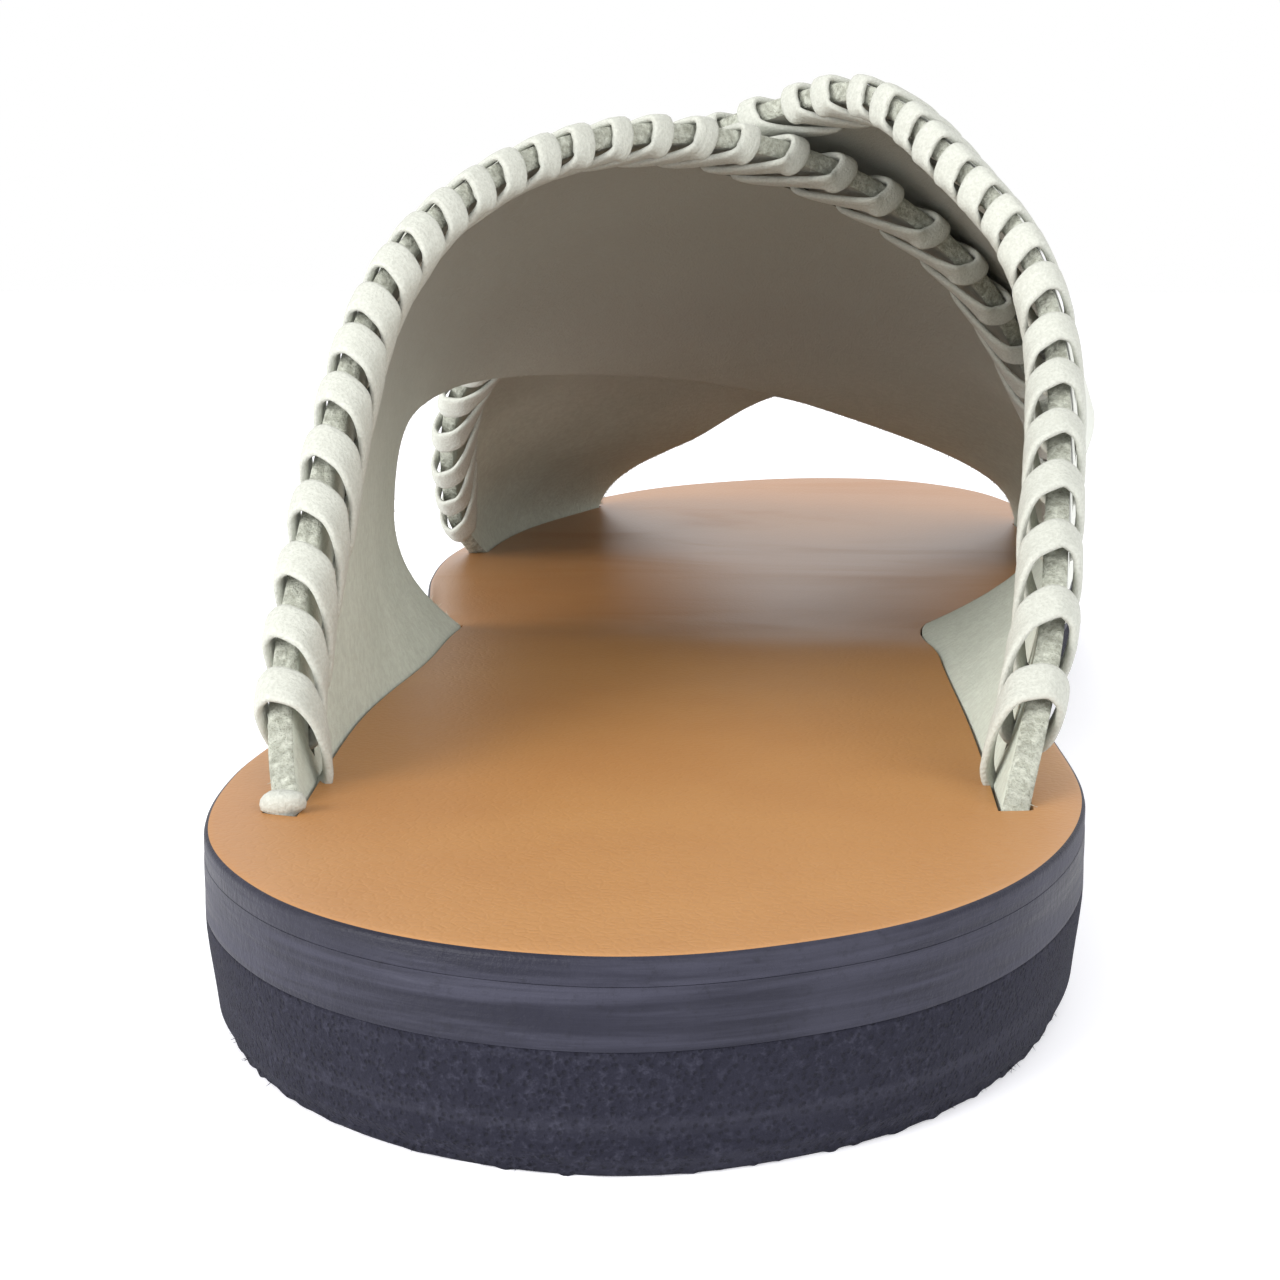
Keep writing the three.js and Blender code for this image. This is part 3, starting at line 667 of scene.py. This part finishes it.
def make_hole_cutters(strap):
    """Slits for the lace, joined in one cutter."""
    edge = LacedEdge(strap)
    bm = bmesh.new()
    for hole in edge.holes():
        at = np.array([hole])
        point, normal, width = edge.place(at, edge.reach(at), np.array([WALL / 2]))
        made = bmesh.ops.create_cube(bm, size=1)["verts"]
        point, normal, width = (point[0] + ORIGIN) * MM, normal[0], width[0]
        thick = np.cross(normal, width)
        width = width * (LACE_GATHERED + HOLE_ROOM) * MM
        thick = thick * (LACE_THICKNESS + HOLE_ROOM) * MM
        normal = normal * 3 * WALL * MM
        for v in made:
            v.co = Vector(point + width * v.co.x + thick * v.co.y + normal * v.co.z)
    bmesh.ops.recalc_face_normals(bm, faces=bm.faces[:])
    return piece_of("slits", bm)


def make_lace_tip():
    """End of the lace in the slot behind the lower strap's outer foot, with a low round head."""
    rear = float(STRAPS["under"]["rear"](0)) - SLOT_CLEARANCE - TIP_THICKNESS / 2
    middle = float(base_lateral(rear)) - WALL / 2
    angles = np.linspace(0, 2 * math.pi, 2 * LACE_SECTION + 1)
    rows, uvs = [], []
    for rise, across, thick in TIP_ROWS:
        sag = 0.12 * np.cos(angles + 0.6) * (across > 1.2)
        rows.append(np.stack([middle + across * np.cos(angles), rear + thick * np.sin(angles),
                              footbed_at(rear) + rise + sag], axis=-1))
        uvs.append(np.stack([np.full_like(angles, rise), across * np.cos(angles)], axis=-1) * MM)
    return skin("lace_end", np.array(rows), np.array(uvs))


# Loose fibres

def make_fibres(name, roots, out, length, seed):
    """Fine fibres that stand out of a rough edge, one cone each."""
    rng = np.random.default_rng(seed)
    bm = bmesh.new()
    for root, way in zip(roots, out):
        way = Vector(way + rng.normal(0, 0.55, 3)).normalized()
        long = float(rng.uniform(0.3, 1.0) * length * MM)
        turn = Vector((0, 0, 1)).rotation_difference(way).to_matrix().to_4x4()
        place = Matrix.Translation(Vector((root + ORIGIN) * MM) + way * long * 0.42) @ turn
        bmesh.ops.create_cone(bm, cap_ends=True, segments=3, radius1=FIBRE_RADII[0] * MM,
                              radius2=FIBRE_RADII[1] * MM, depth=long, matrix=place)
    return piece_of(name, bm)


def strap_fibres(name, strap, count, seed):
    """Fibres on the front and rear edges of a strap."""
    rng = np.random.default_rng(seed)
    turns = rng.uniform(0.0, 1.0, count)
    front = rng.random(count) < 0.6
    side = np.where(front, 1.0, -1.0)
    y = np.where(front, STRAPS[strap]["front"](turns), STRAPS[strap]["rear"](turns)) - side * 0.1
    depth = WALL * rng.beta(0.6, 0.9, count)
    normal = strap_normal(strap, turns, y)
    out = np.stack([np.zeros(count), side, np.zeros(count)], axis=-1)
    out = out - normal * (out * normal).sum(-1, keepdims=True)
    return make_fibres(name, strap_point(strap, turns, y, depth), out - normal * 0.15, STRAP_FIBRE, seed)


def tread_fibres(name, count, seed):
    """Crumbs of the tread that stand out of the bottom rim."""
    rng = np.random.default_rng(seed)
    turns = rng.uniform(0.0, 1.0, count)
    medial = rng.random(count) < 0.5
    middle = (lateral_edge(turns) + medial_edge(turns)) / 2
    edge = np.where(medial, medial_edge(turns), lateral_edge(turns))
    y = LENGTH / 2 * (1 - np.cos(math.pi * turns))
    x = middle + (edge - middle) * (1 - TREAD_FIBRE_INSET / HALF_WIDTH)
    y = LENGTH / 2 + (y - LENGTH / 2) * (1 - TREAD_FIBRE_INSET / (LENGTH / 2))
    roots = np.stack([x, y, spring_at(y) + rng.uniform(0.35, 1.0, count)], axis=-1)
    out = np.stack([x - middle, (y - LENGTH / 2) * 0.4, np.full(count, -4.0)], axis=-1)
    out /= np.linalg.norm(out, axis=1, keepdims=True)
    out[:, 2] = np.maximum(out[:, 2], -0.25)
    return make_fibres(name, roots, out, TREAD_FIBRE, seed)


# Finishes

def node_group(name, inputs, outputs):
    """Empty shader node group with named sockets."""
    group = bpy.data.node_groups.new(name, "ShaderNodeTree")
    for socket, kind, value in inputs:
        made = group.interface.new_socket(socket, in_out="INPUT", socket_type=kind)
        if value is not None:
            made.default_value = value
    for socket, kind in outputs:
        group.interface.new_socket(socket, in_out="OUTPUT", socket_type=kind)
    return group, group.nodes.new("NodeGroupInput"), group.nodes.new("NodeGroupOutput")


def feed(tree, socket, value):
    """Links a socket to another, or sets it to a plain value."""
    if isinstance(value, bpy.types.NodeSocket):
        tree.links.new(value, socket)
    else:
        socket.default_value = value


def add(tree, kind, settings=None, **links):
    """Adds a node, sets its plain values, and links or sets its inputs by name."""
    node = tree.nodes.new(kind)
    for name, value in (settings or {}).items():
        setattr(node, name, value)
    for name, value in links.items():
        feed(tree, node.inputs[name.replace("_", " ")], value)
    return node


def math_node(tree, operation, a, b=0.0, c=None):
    node = tree.nodes.new("ShaderNodeMath")
    node.operation = operation
    for socket, value in zip(node.inputs, (a, b, c)):
        if value is not None:
            feed(tree, socket, value)
    return node.outputs[0]


def ramp(tree, value, low, high, start=0.0, end=1.0):
    node = add(tree, "ShaderNodeMapRange", {"interpolation_type": "SMOOTHSTEP"}, Value=value, From_Min=low,
               From_Max=high, To_Min=start, To_Max=end)
    return node.outputs["Result"]


def mix(tree, share, a, b):
    """Mix of two colours, each a socket or a plain triple."""
    node = tree.nodes.new("ShaderNodeMix")
    node.data_type = "RGBA"
    feed(tree, node.inputs[0], share)
    for index, value in ((6, a), (7, b)):
        feed(tree, node.inputs[index], (*value, 1) if isinstance(value, tuple) else value)
    return node.outputs[2]


def noise(tree, vector, scale, detail=3.0, rough=0.55, warp=0.0):
    node = add(tree, "ShaderNodeTexNoise", None, Vector=vector, Scale=scale, Detail=detail, Roughness=rough,
               Distortion=warp)
    return node.outputs["Fac"]


def stretched(tree, vector, scale):
    node = add(tree, "ShaderNodeMapping", None, Vector=vector, Scale=scale)
    return node.outputs["Vector"]


def make_grain_group():
    """Fine pores and creases of smooth leather."""
    group, given, out = node_group("leather_grain", [
        ("Vector", "NodeSocketVector", None), ("Pore Size", "NodeSocketFloat", 1.0)],
        [("Height", "NodeSocketFloat"), ("Mottle", "NodeSocketFloat")])
    scale = math_node(group, "DIVIDE", 1400.0, given.outputs["Pore Size"])
    cells = add(group, "ShaderNodeTexVoronoi", {"feature": "DISTANCE_TO_EDGE"},
                Vector=given.outputs["Vector"], Scale=scale)
    pores = ramp(group, cells.outputs["Distance"], 0.0, 0.22)
    crumple = noise(group, given.outputs["Vector"], 420, 5, 0.6)
    height = math_node(group, "MULTIPLY_ADD", crumple, 0.7, math_node(group, "MULTIPLY", pores, 0.5))
    group.links.new(height, out.inputs["Height"])
    group.links.new(noise(group, given.outputs["Vector"], 46, 4, 0.6), out.inputs["Mottle"])
    return group


def make_nap_group():
    """Short felted fibres of a flesh side or a cut edge."""
    group, given, out = node_group("leather_nap", [
        ("Vector", "NodeSocketVector", None), ("Coarse", "NodeSocketFloat", 1.0)],
        [("Height", "NodeSocketFloat"), ("Speck", "NodeSocketFloat"), ("Cloud", "NodeSocketFloat")])
    vector = given.outputs["Vector"]
    fine = noise(group, vector, math_node(group, "DIVIDE", 2600.0, given.outputs["Coarse"]), 4, 0.7)
    tuft = noise(group, vector, math_node(group, "DIVIDE", 900.0, given.outputs["Coarse"]), 4, 0.7, 0.6)
    height = math_node(group, "MULTIPLY_ADD", fine, 0.55, math_node(group, "MULTIPLY", tuft, 0.6))
    group.links.new(height, out.inputs["Height"])
    group.links.new(ramp(group, tuft, 0.36, 0.64), out.inputs["Speck"])
    group.links.new(noise(group, vector, 75, 4, 0.62), out.inputs["Cloud"])
    return group


def make_scuff_group():
    """Thin light scratches and rubbed patches."""
    group, given, out = node_group("scuffs", [
        ("Vector", "NodeSocketVector", None), ("Amount", "NodeSocketFloat", 0.5)],
        [("Mask", "NodeSocketFloat")])
    long_way = stretched(group, given.outputs["Vector"], (90, 90, 900))
    lines = noise(group, long_way, 1.0, 3, 0.7, 0.8)
    patch = noise(group, given.outputs["Vector"], 38, 3, 0.6)
    mask = math_node(group, "MULTIPLY", ramp(group, lines, 0.6, 0.72), ramp(group, patch, 0.48, 0.66))
    group.links.new(math_node(group, "MULTIPLY", mask, given.outputs["Amount"]), out.inputs["Mask"])
    return group


GRAIN, NAP, SCUFFS = make_grain_group(), make_nap_group(), make_scuff_group()


def use_group(tree, group, **inputs):
    node = tree.nodes.new("ShaderNodeGroup")
    node.node_tree = group
    for name, value in inputs.items():
        feed(tree, node.inputs[name.replace("_", " ")], value)
    return node.outputs


def new_finish(name, **plain):
    """Material with a Principled shader; plain values go straight on its sockets."""
    finish = bpy.data.materials.new(name)
    finish.use_nodes = True
    tree = finish.node_tree
    shader = tree.nodes["Principled BSDF"]
    for socket, value in plain.items():
        shader.inputs[socket.replace("_", " ")].default_value = value
    coords = tree.nodes.new("ShaderNodeTexCoord")
    return finish, tree, shader, coords


def bump(tree, shader, height, strength, distance):
    node = add(tree, "ShaderNodeBump", None, Height=height, Strength=strength, Distance=distance)
    tree.links.new(node.outputs["Normal"], shader.inputs["Normal"])


def colour(tree, shader, value):
    tree.links.new(value, shader.inputs["Base Color"])


def roughness(tree, shader, value):
    tree.links.new(value, shader.inputs["Roughness"])


# Palette
# The deep tan serves for the mottle and specks of the footbed and for painted shade over its forefoot
TAN_LIGHT, TAN, TAN_DEEP_AND_SHADE = (0.43, 0.21, 0.066), (0.385, 0.175, 0.05), (0.28, 0.104, 0.026)
BLACK, BLACK_SOFT, BLACK_WORN = (0.0115, 0.0115, 0.021), (0.023, 0.023, 0.037), (0.075, 0.075, 0.095)
BLACK_STREAK, BLACK_PATCH, BLACK_FLECK = (0.036, 0.036, 0.054), (0.042, 0.042, 0.062), (0.008, 0.008, 0.012)
# The pit colour is painted shade inside the pits of the foam
CRUMB, SAW_MARK, PIT_SHADE = (0.05, 0.05, 0.072), (0.048, 0.048, 0.066), (0.007, 0.007, 0.01)
# The darker sage serves for the specks of the nap and for painted shade high on the inner face
SAGE, SAGE_PALE, SAGE_DARK_AND_SHADE = (0.5, 0.535, 0.455), (0.555, 0.59, 0.505), (0.27, 0.262, 0.22)
FIBRE_DARK, FIBRE_LIGHT = (0.36, 0.37, 0.305), (0.62, 0.64, 0.555)
FIBRE_CLUMP, FIBRE_SHADE = (0.25, 0.255, 0.205), (0.15, 0.15, 0.12)
# The slit walls carry painted shade, far darker than the cut leather
SLIT_SHADE, SLIT_SHADE_LIGHT = (0.08, 0.08, 0.06), (0.2, 0.2, 0.16)
OFF_WHITE, OFF_WHITE_WARM = (0.55, 0.565, 0.51), (0.58, 0.6, 0.53)
CREAM, CREAM_SHADE, CREAM_SOILED = (0.47, 0.48, 0.43), (0.4, 0.407, 0.362), (0.37, 0.375, 0.33)
PAPER, PAPER_LIGHT, PAPER_GLOW = (0.92, 0.92, 0.945), (0.93, 0.93, 0.95), (0.96, 0.96, 1, 1)


def footbed_leather():
    """Smooth tan leather, glossier where the forefoot has polished it, with painted shade darkening the
    forefoot.
    """
    finish, tree, shader, coords = new_finish("footbed_leather", Coat_Roughness=0.3, Specular_IOR_Level=0.5)
    place = coords.outputs["Object"]
    grain = use_group(tree, GRAIN, Vector=place, Pore_Size=1.1)
    broad = noise(tree, place, 17, 3, 0.5)
    specks = noise(tree, place, 1500, 3, 0.7)
    across = add(tree, "ShaderNodeSeparateXYZ", None, Vector=place)
    wavy = math_node(tree, "MULTIPLY_ADD", noise(tree, place, 30, 2, 0.5), 0.02, across.outputs["Y"])
    forefoot = ramp(tree, wavy, -0.02, 0.012)
    trodden = noise(tree, stretched(tree, place, (20, 60, 20)), 1.0, 3, 0.6, 0.6)
    polish = math_node(tree, "MULTIPLY", forefoot, ramp(tree, trodden, 0.3, 0.62, 0.55, 1.0))
    base = mix(tree, ramp(tree, broad, 0.3, 0.7), TAN, TAN_LIGHT)
    base = mix(tree, ramp(tree, grain["Mottle"], 0.35, 0.75, 0, 0.2), base, TAN_DEEP_AND_SHADE)
    base = mix(tree, ramp(tree, specks, 0.55, 0.75, 0, 0.2), base, TAN_DEEP_AND_SHADE)
    # Painted shade: the forefoot under the straps is darkened towards deep tan
    base = mix(tree, math_node(tree, "MULTIPLY", forefoot, 0.4), base, TAN_DEEP_AND_SHADE)
    colour(tree, shader, base)
    roughness(tree, shader, ramp(tree, polish, 0, 1, 0.47, 0.36))
    tree.links.new(ramp(tree, polish, 0, 1, 0.04, 0.3), shader.inputs["Coat Weight"])
    bump(tree, shader, grain["Height"], 0.25, 0.0001)
    return finish


def burnished_black():
    """Black side of the upper sole layers, rubbed smooth in streaks along the edge."""
    finish, tree, shader, coords = new_finish("burnished_black", Specular_IOR_Level=0.2)
    place = coords.outputs["Object"]
    strokes = noise(tree, stretched(tree, place, (26, 26, 700)), 1.0, 5, 0.65, 0.25)
    patches = noise(tree, place, 48, 4, 0.6)
    fine = noise(tree, place, 1300, 4, 0.72)
    rub = use_group(tree, SCUFFS, Vector=place, Amount=0.5)
    base = mix(tree, ramp(tree, strokes, 0.4, 0.68, 0, 1.0), BLACK, BLACK_STREAK)
    base = mix(tree, ramp(tree, patches, 0.45, 0.75, 0, 0.4), base, BLACK_PATCH)
    base = mix(tree, ramp(tree, fine, 0.52, 0.72, 0, 0.35), base, BLACK_FLECK)
    colour(tree, shader, mix(tree, rub["Mask"], base, BLACK_WORN))
    roughness(tree, shader, ramp(tree, strokes, 0.35, 0.65, 0.42, 0.6))
    height = math_node(tree, "MULTIPLY_ADD", strokes, 0.6, math_node(tree, "MULTIPLY", fine, 0.55))
    bump(tree, shader, height, 0.5, 0.0004)
    return finish


def cellular_black():
    """Matt black foam with fine pits darkened by painted shade, and saw marks."""
    finish, tree, shader, coords = new_finish("cellular_black", Specular_IOR_Level=0.15)
    place = coords.outputs["Object"]
    cells = add(tree, "ShaderNodeTexVoronoi", None, Vector=place, Scale=2300.0, Randomness=1.0)
    pits = ramp(tree, cells.outputs["Distance"], 0.12, 0.5)
    crumbs = noise(tree, place, 1500, 5, 0.75)
    clouds = noise(tree, place, 60, 4, 0.6)
    saw = noise(tree, stretched(tree, place, (16, 16, 420)), 1.0, 4, 0.6, 0.3)
    base = mix(tree, ramp(tree, crumbs, 0.45, 0.75, 0, 0.7), BLACK, CRUMB)
    base = mix(tree, ramp(tree, clouds, 0.4, 0.8, 0, 0.5), base, BLACK_SOFT)
    base = mix(tree, ramp(tree, saw, 0.5, 0.72, 0, 0.3), base, SAW_MARK)
    # Painted shade: the pits are darkened
    base = mix(tree, ramp(tree, pits, 0.0, 0.6, 0.45, 0), base, PIT_SHADE)
    colour(tree, shader, base)
    roughness(tree, shader, ramp(tree, crumbs, 0.3, 0.7, 0.7, 0.9))
    height = math_node(tree, "MULTIPLY_ADD", crumbs, 1.0, math_node(tree, "MULTIPLY", pits, 0.5))
    height = math_node(tree, "MULTIPLY_ADD", saw, 0.6, height)
    bump(tree, shader, height, 0.75, 0.0005)
    return finish


def grain_leather():
    """Off-white outer face of the straps."""
    finish, tree, shader, coords = new_finish("grain_leather", Coat_Weight=0.04, Coat_Roughness=0.4)
    place = coords.outputs["Object"]
    grain = use_group(tree, GRAIN, Vector=place, Pore_Size=1.3)
    base = mix(tree, ramp(tree, grain["Mottle"], 0.3, 0.75, 0, 0.35), OFF_WHITE, OFF_WHITE_WARM)
    colour(tree, shader, base)
    roughness(tree, shader, ramp(tree, grain["Mottle"], 0.2, 0.8, 0.42, 0.54))
    bump(tree, shader, grain["Height"], 0.3, 0.00015)
    return finish


def flesh_side():
    """Grey-green felted inner face, with painted shade darkening it towards the instep."""
    finish, tree, shader, coords = new_finish("flesh_side", Roughness=0.95, Specular_IOR_Level=0.2,
                                              Sheen_Weight=0.1, Sheen_Roughness=0.6)
    place = coords.outputs["Object"]
    nap = use_group(tree, NAP, Vector=place, Coarse=0.8)
    base = mix(tree, ramp(tree, nap["Cloud"], 0.3, 0.72), SAGE, SAGE_PALE)
    high = add(tree, "ShaderNodeSeparateXYZ", None, Vector=place)
    # Painted shade: the inner face darkens with height towards the instep
    base = mix(tree, ramp(tree, high.outputs["Z"], 0.024, 0.05, 0, 0.9), base, SAGE_DARK_AND_SHADE)
    base = mix(tree, math_node(tree, "MULTIPLY", nap["Speck"], 0.26), base, SAGE_DARK_AND_SHADE)
    colour(tree, shader, base)
    bump(tree, shader, nap["Height"], 0.7, 0.0004)
    return finish


def cut_edge():
    """Fibres at the cut edges of the straps."""
    finish, tree, shader, coords = new_finish("cut_edge", Roughness=0.95, Specular_IOR_Level=0.2)
    place = coords.outputs["Object"]
    nap = use_group(tree, NAP, Vector=place, Coarse=1.3)
    fibres = noise(tree, place, 1500, 5, 0.75)
    clumps = noise(tree, place, 800, 3, 0.6)
    base = mix(tree, ramp(tree, fibres, 0.35, 0.65), FIBRE_DARK, FIBRE_LIGHT)
    base = mix(tree, ramp(tree, clumps, 0.45, 0.7, 0, 0.25), base, FIBRE_CLUMP)
    base = mix(tree, math_node(tree, "MULTIPLY", nap["Speck"], 0.3), base, FIBRE_SHADE)
    colour(tree, shader, base)
    height = math_node(tree, "MULTIPLY_ADD", fibres, 1.0, nap["Height"])
    bump(tree, shader, height, 1.0, 0.0005)
    return finish


def slit_wall():
    """Walls of the slits for the lace, darkened with painted shade."""
    finish, tree, shader, coords = new_finish("slit_wall", Roughness=0.95)
    dark = noise(tree, coords.outputs["Object"], 900, 3, 0.6)
    # Painted shade inside the slits, broken up by noise
    colour(tree, shader, mix(tree, dark, SLIT_SHADE, SLIT_SHADE_LIGHT))
    return finish


def lace_leather():
    """Soft off-white lace."""
    finish, tree, shader, coords = new_finish("lace_leather", Specular_IOR_Level=0.3, Sheen_Weight=0.05)
    place = coords.outputs["Object"]
    grain = use_group(tree, GRAIN, Vector=place, Pore_Size=0.8)
    pebbles = noise(tree, place, 3600, 3, 0.6)
    weave = noise(tree, stretched(tree, coords.outputs["UV"], (900, 2400, 1)), 1.0, 3, 0.6)
    base = mix(tree, ramp(tree, pebbles, 0.3, 0.7), CREAM_SHADE, CREAM)
    base = mix(tree, ramp(tree, grain["Mottle"], 0.45, 0.8, 0, 0.1), base, CREAM_SOILED)
    colour(tree, shader, base)
    roughness(tree, shader, ramp(tree, pebbles, 0.3, 0.7, 0.8, 0.62))
    height = math_node(tree, "MULTIPLY_ADD", weave, 0.7, math_node(tree, "MULTIPLY", pebbles, 0.8))
    bump(tree, shader, height, 0.5, 0.0003)
    return finish


def pale_floor():
    finish, tree, shader, coords = new_finish("pale_floor", Roughness=0.7, Specular_IOR_Level=0.1,
                                              Emission_Strength=0.3)
    soft = noise(tree, coords.outputs["Object"], 3.0, 2, 0.5)
    colour(tree, shader, mix(tree, soft, PAPER, PAPER_LIGHT))
    shader.inputs["Emission Color"].default_value = PAPER_GLOW
    return finish


def dress(piece, node, slot, *finishes):
    """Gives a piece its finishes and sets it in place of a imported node."""
    for finish in finishes:
        piece.data.materials.append(finish)
    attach(piece, "root")
    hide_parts(*node)
    return piece


# The sandal

black_cells, black_side = cellular_black(), burnished_black()
cut, flesh, face, slit = cut_edge(), flesh_side(), grain_leather(), slit_wall()
lacing = lace_leather()

dress(make_outsole(), ["outsole"], "outsole", black_cells)
dress(bored(make_midsole(), make_slots()), ["midsole"], "midsole", black_side)
dress(bored(make_insole(), make_slots()), ["insole"], "insole", footbed_leather(), black_side)

lower_strap = make_strap("lower_strap", "under")
upper_strap = make_strap("upper_strap", "over")
for strap, edge in ((lower_strap, "under"), (upper_strap, "over")):
    for finish in (flesh, face, cut, slit):
        strap.data.materials.append(finish)
    cutter = make_hole_cutters(edge)
    cutter.data.materials.append(slit)
    bored(strap, [cutter])
    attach(strap, "root")
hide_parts("upper")
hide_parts("upper")
dress(strap_fibres("lower_strap_fibres", "under", 2600, 31), ["upper"], "upper", flesh)
dress(strap_fibres("upper_strap_fibres", "over", 2600, 32), ["upper"], "upper", flesh)
dress(tread_fibres("outsole_fibres", 900, 33), ["outsole"], "outsole", black_cells)

dress(make_lace("lower_lace", "under", False, 11), ["lace_under"], "lace", lacing)
dress(make_lace("upper_lace", "over", True, 23), ["lace_over"], "lace", lacing)
dress(make_lace_tip(), ["lace_tip"], "lace", lacing)


# Floor, light and camera

def make_floor():
    bm = bmesh.new()
    bmesh.ops.create_grid(bm, x_segments=2, y_segments=2, size=6)
    floor = piece_of("floor", bm)
    floor.data.materials.append(pale_floor())


def softbox(name, place, target, size, power_watts):
    data = bpy.data.lights.new(name, "AREA")
    data.shape, data.size, data.size_y = "RECTANGLE", size[0], size[1]
    data.energy = power_watts
    lamp = bpy.data.objects.new(name, data)
    lamp.location = place
    lamp.rotation_euler = (Vector(target) - Vector(place)).to_track_quat("-Z", "Y").to_euler()
    bpy.context.scene.collection.objects.link(lamp)


def studio():
    """White room, a little dimmer as light than as a background, with three soft panels."""
    world = bpy.data.worlds.new("white_room")
    world.use_nodes = True
    background = world.node_tree.nodes["Background"]
    background.inputs["Color"].default_value = (1, 1, 1, 1)
    seen = world.node_tree.nodes.new("ShaderNodeLightPath")
    strength = world.node_tree.nodes.new("ShaderNodeMapRange")
    strength.inputs["To Min"].default_value, strength.inputs["To Max"].default_value = 0.85, 1.0
    world.node_tree.links.new(seen.outputs["Is Camera Ray"], strength.inputs["Value"])
    world.node_tree.links.new(strength.outputs["Result"], background.inputs["Strength"])
    bpy.context.scene.world = world
    softbox("left_panel", (-1.1, -1.0, 0.6), (0, -0.03, 0.03), (1.2, 0.9), 31)
    softbox("right_panel", (1.0, -1.1, 0.6), (0, -0.03, 0.03), (1.2, 0.9), 14)
    softbox("front_panel", (0.1, 1.0, 0.75), (0, 0.08, 0), (1.4, 0.8), 2.2)
    bpy.context.scene.view_settings.view_transform = "Standard"
    bpy.context.scene.view_settings.look = "None"


def make_camera():
    """Camera behind the heel, aimed at the middle of the sandal."""
    data = bpy.data.cameras.new("camera")
    data.sensor_width, data.lens = 36, 57.6
    data.clip_start, data.clip_end = 0.01, 50
    camera = bpy.data.objects.new("camera", data)
    camera.location = (0.02159, -0.23782, 0.05327)
    yaw, pitch = math.radians(-7.55), math.radians(10.1)
    aim = Vector((math.sin(yaw) * math.cos(pitch), math.cos(yaw) * math.cos(pitch), -math.sin(pitch)))
    camera.rotation_euler = aim.to_track_quat("-Z", "Y").to_euler()
    bpy.context.scene.collection.objects.link(camera)
    bpy.context.scene.camera = camera


make_floor()
studio()
make_camera()
